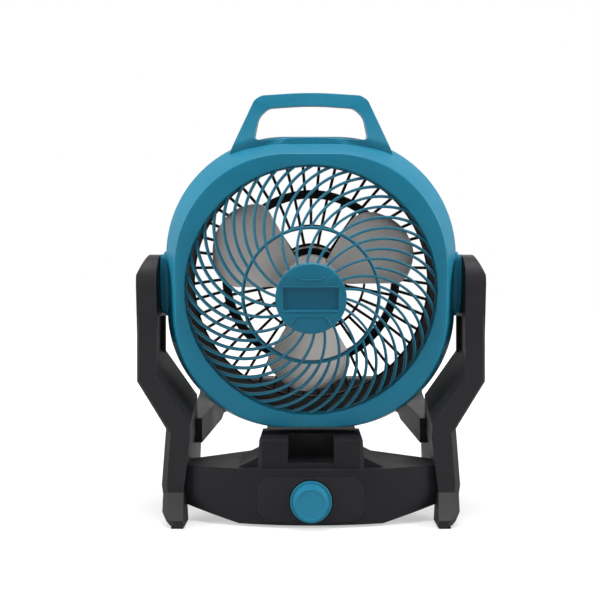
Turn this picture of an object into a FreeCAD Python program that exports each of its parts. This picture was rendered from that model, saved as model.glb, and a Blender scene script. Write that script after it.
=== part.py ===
import FreeCAD, Part
import math
import os
import re
import Sketcher

# Portable battery fan on a tilting stand, in millimetres.
# +X is to the right seen from the front, the front faces -Y, +Z is up.
# The origin lies on the ground under the middle of the fan.

os.makedirs("parts", exist_ok=True)
doc = FreeCAD.newDocument("camping_fan")
Vector = FreeCAD.Vector

sizes = {
    # tilt axis and rest angle of the head
    "pivotBack": -47.5,
    "pivotUp": 222,
    "restTilt": 9,
    "headDrop": 3.6,
    # head shell: a rounded square, given as half width and corner radius
    "rimHalf": 138,
    "rimCorner": 114,
    "faceHalf": 125,
    "faceCorner": 104,
    "tailHalf": 128,
    "tailCorner": 106,
    "faceFront": 34,
    "rimFront": 2,
    "rimBack": -6,
    "tailBack": -24,
    "shellWall": 3,
    "boreRadius": 117.8,
    "lipRadius": 116.2,
    "lipThick": 3,
    # carry handle, heights counted from the tilt axis
    "handleTop": 179,
    "handleShoulder": 176,
    "handleBend": 171.5,
    "handleTopHalf": 46,
    "handleBendHalf": 52.5,
    "handleFoot": 118,
    "handleFootHalf": 78,
    "handleFront": 19,
    "handleBack": -8,
    "handleChamfer": 2.2,
    "gripUnder": 167,
    "gripShoulder": 164.3,
    "gripShoulderHalf": 39.5,
    "gripBend": 156,
    "gripBendHalf": 48.2,
    "gripLow": 141,
    "gripLowHalf": 51.5,
    "gripFoot": 133.5,
    "gripFootHalf": 46.5,
    # tilt bosses and their bolts
    "bossRadius": 31,
    "bossReach": 140.4,
    "bossStepRadius": 24.5,
    "bossStepReach": 143.1,
    "bossRoot": 123.5,
    "boltRadius": 5,
    "boltPlay": 0.05,
    "boltHeadRadius": 7.5,
    "boltHeadTall": 5,
    "boltReach": 127,
    "boltSink": 9,
    "boltSinkStart": 154.5,
    # air duct ring and the domed front grille
    "ductOuter": 117.6,
    "ductInner": 116,
    "ductFront": 25.5,
    "ductBack": -23,
    "grilleRim": 117.2,
    "grilleRimInner": 115.8,
    "domeRimTop": 30,
    "domeRingRadius": 62,
    "domeRingTop": 50.5,
    "domeHubTop": 59.5,
    "domeThick": 4,
    "domeKnee": 91,
    "ringWide": 2.6,
    "hubRadius": 31.6,
    "hubHole": 27,
    "ribRadius": 66.5,
    "ribTurn": 3.3,
    "ribWide": 2.6,
    "ribCount": 22,
    "capTop": 66.5,
    "capRound": 2,
    "capDish": 1.6,
    "badgeLong": 50,
    "badgeTall": 20,
    "badgeDeep": 1.2,
    "ridgeWide": 1.3,
    "ridgeOut": 0.7,
    "ridgeSlope": 4.5,
    "upperRidgeHalf": 13,
    "upperRidgeRise": 16.8,
    "upperRidgeTall": 3.2,
    "lowerRidgeHalf": 17.4,
    "lowerRidgeRise": 15.2,
    "lowerRidgeTall": 7.4,
    # rear grille and motor
    "tailPlate": 2.6,
    "basketBack": -58,
    "basketMouth": 115,
    "basketCorner": 90,
    "bandOuter": 91.1,
    "bandInner": 82.5,
    "bandThick": 5,
    "innerRing": 54,
    "innerRingWide": 2.2,
    "rearRibWide": 2.2,
    "rearRibDeep": 4,
    "outerRibCount": 46,
    "innerRibCount": 32,
    "hubRibCount": 16,
    "motorRadius": 35,
    "motorWall": 2,
    "motorFront": -31,
    "motorPlate": 3,
    "lidRadius": 24,
    "motorScrewRing": 29,
    "screwRadius": 1.5,
    "screwLong": 9,
    "screwCorner": 91.5,
    "postRadius": 4.2,
    "shaftRadius": 3,
    "bearingRadius": 9,
    "bearingWide": 6,
    "rotorRadius": 19,
    "statorInner": 20.5,
    "statorOuter": 30,
    # impeller
    "hubCupRadius": 29,
    "hubCupFront": 4,
    "hubCupBack": -26,
    "bladeMiddle": -14,
    "bladeTip": 105.5,
    "bladeThick": 2.4,
    "bladeCount": 3,
    "bladeStart": 30,
    # side frames
    "armInner": 143.4,
    "armOuter": 162,
    "armHead": 28,
    "kneeUp": 131,
    "waistUp": 88,
    "waistInner": 113,
    "waistOuter": 135.5,
    "ankleUp": 34,
    "ankleInner": 118.5,
    "ankleOuter": 139.5,
    "footInner": 114.5,
    "footOuter": 128,
    "padTall": 2,
    "armFront": -72.5,
    "armBack": -23,
    "footFront": -94,
    "hindFoot": 58,
    "archTop": 42,
    "hindArch": -8,
    "frontArch": -46,
    "channelDeep": 4,
    "legChamfer": 5.5,
    "armChamfer": 2,
    "armCornerUp": 8,
    "armCornerIn": 7,
    "gussetRise": 22,
    # base housing
    "baseTop": 52.6,
    "baseFloor": 2.5,
    "baseBow": -90,
    "baseCheek": -64,
    "baseHalf": 121,
    "baseTailHalf": 50,
    "baseBack": 48,
    "keelHalf": 66,
    "keelRise": 18,
    "neckFootHalf": 49.5,
    "neckTopHalf": 47.5,
    "neckTop": 78.6,
    "neckFront": -84,
    "neckBack": -20,
    "neckFlare": 22,
    "neckFlareUp": 9,
    "neckCorner": 4.5,
    "notchHalf": 21.5,
    "notchFloor": 57.3,
    "notchDeep": 35,
    "bayHalf": 39.5,
    "bayFloor": 7,
    "bayRoof": 73,
    "bayFront": -16,
    "bayCoverTop": 77,
    "bayWall": 5,
    "blockHalf": 22,
    "blockLow": 48,
    "blockHigh": 69,
    "roomHalf": 38,
    "roomFront": -84.5,
    "roomTop": 47.5,
    "coverTop": 4.5,
    "boardBack": -60,
    "frameScrewOut": 135,
    "frameScrewBack": -60,
    # control panel and knob
    "panelHalf": 49,
    "panelLow": 5.5,
    "panelHigh": 46,
    "panelCorner": 8,
    "panelThick": 2.5,
    "panelProud": 0.6,
    "knobUp": 24.1,
    "knobRadius": 19,
    "knobCapRadius": 15.4,
    "knobGap": 0.9,
    "knobFlange": 3.2,
    "knobFront": -102,
    "knobSeat": -88.6,
    "spindleRadius": 3,
    "bushingRadius": 4.5,
    "potDeep": 12,
    # rear bar
    "barHalf": 126,
    "barRootInner": 107,
    "barTailInner": 97.5,
    "barBack": 117.6,
    "barWide": 25,
    "barLow": 66,
    "barHigh": 92,
    "barTailLow": 90,
    "barTailHigh": 116,
    "barFront": -29,
    # battery pack
    "packHalf": 37.5,
    "packFront": -14,
    "packBack": 98,
    "packFloor": 8,
    "packSeam": 49,
    "packTop": 60,
    "railHalf": 30,
    "railTop": 70,
    "latchLow": 63,
    "latchHalf": 9,
    "bladeApart": 12,
    "cellRadius": 9.2,
    "latchTravel": 3.5,
    "runGap": 0.3,
}

sheet = doc.addObject("Spreadsheet::Sheet", "Sizes")
for row, (word, number) in enumerate(sizes.items(), 1):
    sheet.set(f"A{row}", word)
    sheet.set(f"B{row}", str(number))
    sheet.setAlias(f"B{row}", word)
doc.recompute()
size = {word: float(sheet.get(word)) for word in sizes}


def formula(text):
    """Point every size word in a formula at the sheet."""
    return re.sub(r"\b([a-z][A-Za-z]+)\b(?!\()", r"Sizes.\1", str(text))


def bind(thing, **formulas):
    """Tie properties of a feature to formulas of the sheet's words."""
    for name, text in formulas.items():
        thing.setExpression(name.replace("__", "."), formula(text))
    return thing


def worth(thing, text):
    """The present value of a formula, for a sketch's first shape."""
    found = thing.evalExpression(formula(text))
    return float(getattr(found, "Value", found))


def newBody(label):
    body = doc.addObject("PartDesign::Body", label)
    body.Label = label
    return body


def newSketch(body, role, offset="0"):
    """A sketch on one of the body's own origin planes, moved along its normal."""
    sketch = body.newObject("Sketcher::SketchObject", "Sketch")
    plane = [item for item in body.Origin.OriginFeatures if item.Role == role][0]
    sketch.AttachmentSupport = [(plane, "")]
    sketch.MapMode = "FlatFace"
    bind(sketch, AttachmentOffset__Base__z=offset)
    return sketch


def pinPoint(sketch, line, corner, across, up):
    """Hold one end of a sketch line at two formulas."""
    for kind, axis, text in (("DistanceX", -2, across), ("DistanceY", -1, up)):
        now = worth(sketch, text)
        if abs(now) < 1e-9:
            sketch.addConstraint(Sketcher.Constraint("PointOnObject", line, corner, axis))
        else:
            number = sketch.addConstraint(Sketcher.Constraint(kind, -1, 1, line, corner, now))
            sketch.setExpression(f"Constraints[{number}]", formula(text))


def outline(sketch, points):
    """A closed outline of straight lines through points given as formulas."""
    first = sketch.GeometryCount
    spots = [Vector(worth(sketch, a), worth(sketch, b), 0) for a, b in points]
    count = len(spots)
    for index in range(count):
        following = spots[(index + 1) % count]
        sketch.addGeometry(Part.LineSegment(spots[index], following), False)
    for index in range(count):
        after = first + (index + 1) % count
        sketch.addConstraint(Sketcher.Constraint("Coincident", first + index, 2, after, 1))
    for index, (across, up) in enumerate(points):
        pinPoint(sketch, first + index, 1, across, up)
    return sketch


def roundedSquare(sketch, half, corner):
    """Four sides and four corner arcs about the sketch's origin."""
    reach = worth(sketch, half)
    radius = worth(sketch, corner)
    flat = reach - radius
    for turn in range(4):
        angle = turn * math.pi / 2
        centre = Vector(flat, flat, 0)
        spin = FreeCAD.Rotation(Vector(0, 0, 1), math.degrees(angle))
        circle = Part.Circle(spin.multVec(centre), Vector(0, 0, 1), radius)
        sketch.addGeometry(Part.ArcOfCircle(circle, angle, angle + math.pi / 2), False)
        start = spin.multVec(Vector(flat, reach, 0))
        end = spin.multVec(Vector(-flat, reach, 0))
        sketch.addGeometry(Part.LineSegment(start, end), False)
        signs = (spin.multVec(Vector(1, 1, 0)))
        for kind, sign in (("DistanceX", signs.x), ("DistanceY", signs.y)):
            mark = "-" if sign < 0 else ""
            number = sketch.addConstraint(
                Sketcher.Constraint(kind, -1, 1, 2 * turn, 3, math.copysign(flat, sign)))
            sketch.setExpression(f"Constraints[{number}]", formula(f"{mark}({half} - {corner})"))
    for turn in range(4):
        sketch.addConstraint(Sketcher.Constraint("Tangent", 2 * turn, 2, 2 * turn + 1, 1))
        nextArc = (2 * turn + 2) % 8
        sketch.addConstraint(Sketcher.Constraint("Tangent", 2 * turn + 1, 2, nextArc, 1))
    number = sketch.addConstraint(Sketcher.Constraint("Radius", 0, radius))
    sketch.setExpression(f"Constraints[{number}]", formula(corner))
    return sketch


def pad(body, sketch, length, kind="PartDesign::Pad"):
    feature = body.newObject(kind, kind.split("::")[1])
    feature.Profile = sketch
    bind(feature, Length=length)
    return feature


def prism(label, role, points, start, length):
    """A straight prism: an outline on a plane at start, grown by length."""
    body = newBody(label)
    pad(body, outline(newSketch(body, role, start), points), length)
    return body


def turned(label, points):
    """A solid turned about its own Z axis from radius and height pairs."""
    body = newBody(label)
    sketch = outline(newSketch(body, "XZ_Plane"), points)
    feature = body.newObject("PartDesign::Revolution", "Revolution")
    feature.Profile = sketch
    feature.ReferenceAxis = (sketch, ["V_Axis"])
    feature.Angle = 360
    return body


def sleeve(label, outer, inner, low, high):
    """A plain ring about the Z axis."""
    return turned(label, [(inner, low), (outer, low), (outer, high), (inner, high)])


def disc(label, radius, low, high):
    return turned(label, [("0", low), (radius, low), (radius, high), ("0", high)])


def rod(label, radius, length, axis=Vector(0, 0, 1)):
    """A cylinder along an axis, its place bound by the caller."""
    feature = doc.addObject("Part::Cylinder", label)
    feature.Placement.Rotation = FreeCAD.Rotation(Vector(0, 0, 1), axis)
    return bind(feature, Radius=radius, Height=length)


def block(label, low, high):
    """A box between two corners, each given as three formulas."""
    feature = doc.addObject("Part::Box", label)
    bind(feature, Length=f"{high[0]} - ({low[0]})", Width=f"{high[1]} - ({low[1]})",
         Height=f"{high[2]} - ({low[2]})")
    return place(feature, *low)


def place(thing, x="0", y="0", z="0"):
    return bind(thing, Placement__Base__x=x, Placement__Base__y=y, Placement__Base__z=z)


def joined(label, things):
    feature = doc.addObject("Part::MultiFuse", label)
    feature.Shapes = things
    return feature


def cut(label, base, *tools):
    for number, tool in enumerate(tools):
        last = number == len(tools) - 1
        feature = doc.addObject("Part::Cut", label if last else label + "_stage")
        feature.Base = base
        feature.Tool = tool
        base = feature
    return base


def common(label, one, other):
    feature = doc.addObject("Part::Common", label)
    feature.Base = one
    feature.Tool = other
    return feature


def mirrored(label, source):
    """The twin on the other side of the middle plane."""
    feature = doc.addObject("Part::Mirroring", label)
    feature.Source = source
    feature.Normal = Vector(1, 0, 0)
    return feature


def group(label, things):
    """Several like pieces that share one node."""
    feature = doc.addObject("Part::Compound", label)
    feature.Links = things
    return feature


def solidFeature(label, shape):
    feature = doc.addObject("Part::Feature", label)
    feature.Shape = shape
    return feature


kept = []


def keep(feature, label, tilted=False):
    """Mark a finished sub-part; those of the head lean by the rest tilt."""
    feature.Label = label
    if tilted:
        feature.Placement.Rotation = FreeCAD.Rotation(Vector(1, 0, 0), 90 + size["restTilt"])
        place(feature, "0", "pivotBack + headDrop * sin(restTilt)",
              "pivotUp - headDrop * cos(restTilt)")
        bind(feature, Placement__Rotation__Angle="90 + restTilt")
    kept.append(feature)
    return feature


# Head. Its own axes: X right, Y up the head, Z forward along the fan's axis,
# which passes headDrop below the tilt axis.

def frontShell():
    """Bezel, handle and tilt bosses in one moulding, hollow behind."""
    skin = newBody("shell_skin")
    sections = [("faceHalf", "faceCorner", "faceFront"), ("rimHalf", "rimCorner", "rimFront")]
    lofts = [sections, [("rimHalf", "rimCorner", "rimBack"), ("tailHalf", "tailCorner", "tailBack")]]
    for pair in lofts:
        flats = [roundedSquare(newSketch(skin, "XY_Plane", high), half, corner)
                 for half, corner, high in pair]
        loft = skin.newObject("PartDesign::AdditiveLoft", "Loft")
        loft.Profile = flats[0]
        loft.Sections = [flats[1]]
        loft.Ruled = True
        if pair is sections:
            pad(skin, roundedSquare(newSketch(skin, "XY_Plane", "rimBack"), "rimHalf", "rimCorner"),
                "rimFront - rimBack")
    hollow = newBody("shell_hollow")
    insets = [("faceHalf", "faceCorner", "faceFront - shellWall"),
              ("rimHalf", "rimCorner", "rimFront - shellWall"),
              ("tailHalf", "tailCorner", "tailBack - shellWall")]
    for upper, lower in zip(insets, insets[1:]):
        flats = [roundedSquare(newSketch(hollow, "XY_Plane", high),
                               half + " - shellWall", corner + " - shellWall")
                 for half, corner, high in (upper, lower)]
        loft = hollow.newObject("PartDesign::AdditiveLoft", "Loft")
        loft.Profile = flats[0]
        loft.Sections = [flats[1]]
        loft.Ruled = True
    lining = disc("shell_lining", "boreRadius + shellWall", "tailBack - 10", "faceFront + 10")
    chamber = cut("shell_chamber", hollow, lining)
    arch = handle()
    bosses = []
    for side, sign in (("right", "1"), ("left", "-1")):
        for radius, reach in (("bossRadius", "bossReach"), ("bossStepRadius", "bossStepReach")):
            boss = rod(f"{side}_boss_core", radius, f"{reach} - bossRoot", Vector(int(sign), 0, 0))
            bosses.append(place(boss, f"{sign} * bossRoot", "headDrop"))
    solid = joined("shell_blank", [skin, arch])
    hollowed = cut("shell_walls", solid, chamber)
    posts = []
    for spot in tailScrewSpots():
        post = rod("screw_post", "postRadius", "rimBack - tailBack")
        post.Placement.Base = spot
        posts.append(bind(post, Placement__Base__z="tailBack"))
    whole = joined("shell_with_bosses", [hollowed] + bosses + posts)
    step = "faceFront - lipThick"
    bore = turned("shell_bore", [
        ("0", "tailBack - 30"), ("boreRadius", "tailBack - 30"), ("boreRadius", step),
        ("lipRadius", step), ("lipRadius", "faceFront + 10"), ("0", "faceFront + 10")])
    holes = [place(rod(f"{side}_boss_hole", "boltRadius + boltPlay", "bossStepReach - bossRoot + 2",
                       Vector(sign, 0, 0)), f"{sign} * (bossRoot - 1)", "headDrop")
             for side, sign in (("right", 1), ("left", -1))]
    for spot in tailScrewSpots():
        hole = rod("screw_hole", "screwRadius", "2 * screwLong")
        hole.Placement.Base = spot
        holes.append(bind(hole, Placement__Base__z="tailBack - screwLong"))
    return cut("front_shell_cut", whole, bore, *holes)


def tailScrewSpots():
    """The four corners of the shell's back, where there is room for a screw post."""
    flat = size["screwCorner"]
    back = size["tailBack"] - size["tailPlate"]
    return [Vector(x * flat, y * flat, back) for x in (1, -1) for y in (1, -1)]


def handle():
    """The arched carry handle, its edges broken all round."""
    half = [("handleTopHalf", "handleShoulder"), ("handleBendHalf", "handleBend"),
            ("handleFootHalf", "handleFoot")]
    around = [("0", "handleTop")] + half + [("-" + a, b) for a, b in reversed(half)]
    body = newBody("handle_arch")
    grip = pad(body, outline(newSketch(body, "XY_Plane", "handleBack"), around),
               "handleFront - handleBack")
    inner = [("gripShoulderHalf", "gripShoulder"), ("gripBendHalf", "gripBend"),
             ("gripLowHalf", "gripLow"), ("gripFootHalf", "gripFoot")]
    opening = [("0", "gripUnder")] + inner + [("-" + a, b) for a, b in reversed(inner)]
    window = outline(newSketch(body, "XY_Plane", "handleBack"), opening)
    pocket = body.newObject("PartDesign::Pocket", "Pocket")
    pocket.Profile = window
    pocket.Type = "ThroughAll"
    pocket.Reversed = True
    doc.recompute()
    edges = []
    for number, edge in enumerate(pocket.Shape.Edges, 1):
        box = edge.BoundBox
        level = box.ZLength < 0.01 and box.YMin > size["rimHalf"] - 12
        if level and edge.Length > 5:
            edges.append(f"Edge{number}")
    broken = body.newObject("PartDesign::Chamfer", "Chamfer")
    broken.Base = (pocket, edges)
    bind(broken, Size="handleChamfer")
    return place(body, "0", "headDrop")


def domeHeight(radius):
    """Height of the guard's outer surface, on one arc through its rim, ring and hub."""
    rim = Vector(size["grilleRim"], 0, size["domeRimTop"])
    ring = Vector(size["domeRingRadius"], 0, size["domeRingTop"])
    hub = Vector(size["hubRadius"], 0, size["domeHubTop"])
    circle = Part.Arc(rim, ring, hub).toShape().Curve
    return circle.Center.z + math.sqrt(circle.Radius ** 2 - (radius - circle.Center.x) ** 2)


def domeBand(inner, outer):
    """The dome between two radii, as a turned solid with cones between its knees."""
    knees = [size["domeRingRadius"], size["domeKnee"]]
    radii = [inner] + [knee for knee in knees if inner < knee < outer] + [outer]
    over = [Vector(radius, 0, domeHeight(radius)) for radius in radii]
    under = [spot - Vector(0, 0, size["domeThick"]) for spot in reversed(over)]
    slice_ = Part.Face(Part.makePolygon(over + under + over[:1]))
    return slice_.revolve(Vector(0, 0, 0), Vector(0, 0, 1), 360)


def spiralRib(inner, outer):
    """One rib: half a hoop through the axis, kept where the dome's band crosses it."""
    tall = 60
    centre = Vector(size["ribRadius"], 0, 10)
    wide = size["ribWide"] / 2
    whole = Part.makeCylinder(size["ribRadius"] + wide, tall, centre, Vector(0, 0, 1), 180)
    core = Part.makeCylinder(size["ribRadius"] - wide, tall, centre, Vector(0, 0, 1), 180)
    return whole.cut(core).common(domeBand(inner, outer))


def frontGrille():
    """Domed guard: ribs that spiral out, every second one from the middle ring."""
    overlap = size["ringWide"] / 2
    ring = size["domeRingRadius"]
    rimIn = size["grilleRimInner"]
    pieces = [domeBand(rimIn, size["grilleRim"]), domeBand(ring - overlap, ring + overlap),
              domeBand(size["hubHole"], size["hubRadius"])]
    longRib = spiralRib(size["hubRadius"] - 1, rimIn + 1)
    shortRib = spiralRib(ring, rimIn + 1)
    count = int(size["ribCount"])
    for number in range(count):
        for rib, shift in ((longRib, 0), (shortRib, 0.5)):
            copy = rib.copy()
            turn = (number + shift) * 360 / count + size["ribTurn"]
            copy.rotate(Vector(0, 0, 0), Vector(0, 0, 1), turn)
            pieces.append(copy)
    return pieces[0].multiFuse(pieces[1:]).removeSplitter()


def grilleCap():
    """The hub's cover, with a bare sunk panel and two raised ridges."""
    seat = "domeHubTop + 0.15"
    dome = turned("cap_disc", [
        ("0", f"{seat} + capDish"), ("hubHole", f"{seat} + capDish"),
        ("hubRadius", seat), ("hubRadius", "capTop - capRound"),
        ("hubRadius - 0.6 * capRound", "capTop - 0.4 * capRound"),
        ("hubRadius - 1.6 * capRound", "capTop"), ("0", "capTop")])
    badge = block("cap_badge", ("-badgeLong / 2", "-badgeTall / 2", "capTop - badgeDeep"),
                  ("badgeLong / 2", "badgeTall / 2", "capTop + 1"))
    sunk = cut("cap_sunk", dome, badge)
    ridges = [capRidge("upper", "upperRidgeHalf", "upperRidgeRise", "upperRidgeTall"),
              capRidge("lower", "lowerRidgeHalf", "-lowerRidgeRise", "-lowerRidgeTall")]
    return joined("grille_cap_whole", [sunk] + ridges)


def capRidge(side, half, near, tall):
    """A raised line with turned-out ends, above or below the sunk panel."""
    flat = f"({half} - ridgeSlope)"
    far = f"({near} + {tall})"
    points = [(half, far), (flat, near), ("-" + flat, near), ("-" + half, far),
              ("-" + half, far + " + ridgeWide"), ("-" + flat, near + " + ridgeWide"),
              (flat, near + " + ridgeWide"), (half, far + " + ridgeWide")]
    return prism(f"cap_ridge_{side}", "XY_Plane", points, "capTop - 1", "1 + ridgeOut")


def ringOfBars(count, bar, shift=0):
    """Copies of a bar set evenly round the fan's axis, shifted by a share of a step."""
    copies = []
    for number in range(int(count)):
        copy = bar.copy()
        copy.rotate(Vector(0, 0, 0), Vector(0, 0, 1), (number + shift) * 360 / count)
        copies.append(copy)
    return copies


def rearGrille():
    """Rear basket: sloping outer bars, a broad band, flat inner bars and the motor plate."""
    back = size["basketBack"]
    deep = size["rearRibDeep"]
    wide = size["rearRibWide"]
    tail = size["tailBack"]
    mouth = size["basketMouth"]
    corner = size["basketCorner"]
    band = size["bandInner"] + 1
    plate = size["tailPlate"]

    def bar(points):
        wire = Part.makePolygon([Vector(r, -wide / 2, z) for r, z in points + points[:1]])
        return Part.Face(wire).extrude(Vector(0, wide, 0))

    sloping = bar([(mouth + 3, tail), (mouth + 3, tail - plate), (corner, back), (band + 5, back),
                   (band + 5, back + deep), (corner - 2, back + deep), (mouth - 2, tail)])
    ring_ = size["innerRing"] + 1
    hub = size["motorRadius"]
    flat = bar([(band, back), (band, back + deep), (ring_, back + deep), (ring_, back)])
    inmost = bar([(ring_, back), (ring_, back + deep), (hub, back + deep), (hub, back)])
    low = Vector(0, 0, back)

    def ring(outer, inner, thick, start=low):
        return Part.makeCylinder(outer, thick, start).cut(Part.makeCylinder(inner, thick, start))

    pieces = [ring(size["bandOuter"], size["bandInner"], size["bandThick"]),
              ring(size["innerRing"] + size["innerRingWide"], size["innerRing"], deep),
              Part.makeCylinder(size["motorRadius"] + 2, size["motorPlate"], low)]
    pieces += ringOfBars(size["outerRibCount"], sloping)
    pieces += ringOfBars(size["innerRibCount"], flat)
    pieces += ringOfBars(size["hubRibCount"], inmost, 0.5)
    half = size["tailHalf"] - 0.4
    round_ = size["tailCorner"] - 0.4
    slab = Part.makeBox(2 * half, 2 * half, plate, Vector(-half, -half, tail - plate))
    upright = [edge for edge in slab.Edges if edge.BoundBox.ZLength > plate / 2]
    slab = slab.makeFillet(round_, upright)
    slab = slab.cut(Part.makeCylinder(mouth, plate, Vector(0, 0, tail - plate)))
    whole = slab.multiFuse(pieces).removeSplitter()
    holes = [Part.makeCylinder(size["bearingRadius"], size["motorPlate"], low)]
    for spot in tailScrewSpots():
        holes.append(Part.makeCylinder(size["screwRadius"] + 0.2, plate, spot))
    for spot in motorScrewSpots():
        holes.append(Part.makeCylinder(size["screwRadius"], size["motorPlate"], spot))
    reach = size["bossReach"]
    axle = Vector(-reach, size["headDrop"], 0)
    clear = Part.makeCylinder(size["bossRadius"] + 0.3, 2 * reach, axle, Vector(1, 0, 0))
    inside = Part.makeBox(2 * mouth, 2 * mouth, 2 * mouth, Vector(-mouth, -mouth, -mouth))
    holes.append(clear.cut(inside))
    return whole.cut(Part.makeCompound(holes))


def motorScrewSpots():
    return ringSpots(3, size["motorScrewRing"], size["basketBack"], 90)


def motorParts():
    """Can, end lid, stator, rotor, bearings and shaft, all on the fan's axis."""
    seat = "basketBack + motorPlate"
    foot = "basketBack + 2 * motorPlate"
    can = turned("can_turned", [
        ("lidRadius", seat), ("motorRadius", seat), ("motorRadius", "motorFront"),
        ("bearingRadius", "motorFront"), ("bearingRadius", "motorFront - motorWall"),
        ("motorRadius - motorWall", "motorFront - motorWall"),
        ("motorRadius - motorWall", foot), ("lidRadius", foot)])
    holes = []
    for spot in motorScrewSpots():
        hole = rod("can_screw_hole", "screwRadius", "3 * motorPlate")
        hole.Placement.Base = spot
        holes.append(bind(hole, Placement__Base__z="basketBack"))
    keep(cut("motor_can_cut", can, *holes), "motor_can", True)
    lid = turned("motor_lid", [
        ("0", "basketBack - 5"), ("lidRadius - 3", "basketBack - 5"), ("lidRadius", "basketBack - 2"),
        ("lidRadius", "basketBack - 0.05"), ("0", "basketBack - 0.05")])
    keep(lid, "motor_lid", True)
    low = "basketBack + 8"
    high = "motorFront - 5"
    keep(sleeve("motor_stator", "statorOuter", "statorInner", low, high), "motor_stator", True)
    keep(sleeve("motor_rotor", "rotorRadius", "shaftRadius", low, high), "motor_rotor", True)
    shaft = disc("motor_shaft", "shaftRadius", "basketBack + 0.6", "hubCupFront - 6")
    keep(shaft, "motor_shaft", True)
    inner = "shaftRadius + boltPlay"
    front = sleeve("front_bearing", "bearingRadius", inner, "motorFront - bearingWide + 2",
                   "motorFront")
    rear = sleeve("rear_bearing", "bearingRadius", inner, "basketBack + 0.6",
                  "basketBack + bearingWide")
    keep(group("motor_bearings", [front, rear]), "motor_bearings", True)


def bladeSection(radius, behind, ahead, rise):
    """One closed section of a blade: a thin bowed strip across the radius."""
    thick = size["bladeThick"] / 2
    bow = 0.06 * (behind + ahead)

    def spot(across, lift):
        return Vector(radius, across, rise * across + lift)

    middle = (ahead - behind) / 2
    upper = Part.Arc(spot(-behind, thick), spot(middle, thick + bow), spot(ahead, thick)).toShape()
    lower = Part.Arc(spot(ahead, -thick), spot(middle, bow - thick), spot(-behind, -thick)).toShape()
    ends = [Part.makeLine(spot(ahead, thick), spot(ahead, -thick)),
            Part.makeLine(spot(-behind, -thick), spot(-behind, thick))]
    return Part.Wire([upper, ends[0], lower, ends[1]])


def impeller():
    """Hub cup and broad rounded blades, pitched steeply at the root and flatter at the tip."""
    middle = math.radians(30)
    sections = []
    for share, late in ((0.24, 1.0), (0.5, 1.0), (0.72, 0.93), (0.86, 0.8), (0.95, 0.55), (0.99, 0.22)):
        radius = share * size["bladeTip"]
        half = radius * math.sin(middle)
        pitch = 0.62 - 0.38 * share
        sections.append(bladeSection(radius * math.cos(middle * late), half * late,
                                     half * min(1, late * 1.15), pitch))
    blade = Part.makeLoft(sections, True, True)
    tip = Part.makeCylinder(size["bladeTip"], 80, Vector(0, 0, -40))
    blade = blade.common(tip)
    blade.translate(Vector(0, 0, size["bladeMiddle"]))
    blades = []
    for number in range(int(size["bladeCount"])):
        copy = blade.copy()
        copy.rotate(Vector(0, 0, 0), Vector(0, 0, 1), 30 + number * 360 / size["bladeCount"])
        blades.append(copy)
    front = size["hubCupFront"]
    back = size["hubCupBack"]
    outer = size["hubCupRadius"]
    wall = 2.4
    shaft = size["shaftRadius"]
    profile = [(shaft, front - 14), (7, front - 14), (7, front - wall - 2), (outer - wall - 6, front - wall - 2),
               (outer - wall, front - wall - 7), (outer - wall, back), (outer, back), (outer, front - 6),
               (outer - 6, front), (shaft, front)]
    wire = Part.makePolygon([Vector(r, 0, z) for r, z in profile + profile[:1]])
    cup = Part.Face(wire).revolve(Vector(0, 0, 0), Vector(0, 0, 1), 360)
    inside = Part.makeCylinder(outer - wall / 2, 80, Vector(0, 0, -50))
    return cup.multiFuse([blade.cut(inside) for blade in blades])


def screwSet(label, spots, axis, headRadius, headTall, shankRadius, shankLong):
    """Separate screws that share one node; heads sit at the spots, shanks run along the axis."""
    screws = []
    for spot in spots:
        head = Part.makeCylinder(headRadius, headTall, spot - axis * headTall, axis)
        socket = Part.makeCylinder(headRadius * 0.45, headTall * 0.5, spot - axis * headTall, axis)
        shank = Part.makeCylinder(shankRadius, shankLong, spot, axis)
        screws.append(head.fuse(shank).cut(socket))
    return solidFeature(label, Part.makeCompound(screws))


def ringSpots(count, radius, height, start):
    spots = []
    for number in range(count):
        angle = math.radians(start + number * 360 / count)
        spots.append(Vector(radius * math.cos(angle), radius * math.sin(angle), height))
    return spots


keep(frontShell(), "front_shell", True)
keep(sleeve("duct_ring", "ductOuter", "ductInner", "ductBack", "ductFront"), "duct_ring", True)
keep(solidFeature("front_grille", frontGrille()), "front_grille", True)
keep(grilleCap(), "grille_cap", True)
keep(solidFeature("rear_grille", rearGrille()), "rear_grille", True)
motorParts()
keep(solidFeature("impeller", impeller()), "impeller", True)
nut = Part.makeCylinder(6.5, 3, Vector(0, 0, size["hubCupFront"] + 0.05))
nut = nut.cut(Part.makeCylinder(1.6, 2, Vector(0, 0, size["hubCupFront"] + 1.2)))
keep(solidFeature("impeller_nut", nut), "impeller_nut", True)
screwAxis = Vector(0, 0, 1)
tailScrews = screwSet("rear_grille_screws", tailScrewSpots(), screwAxis, 3.2, 2.0,
                      size["screwRadius"], size["screwLong"])
keep(tailScrews, "rear_grille_screws", True)
motorScrews = screwSet("motor_screws", motorScrewSpots(), screwAxis, 2.8, 1.8,
                       size["screwRadius"], 2 * size["motorPlate"])
keep(motorScrews, "motor_screws", True)


# Stand. World axes from here on.

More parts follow.
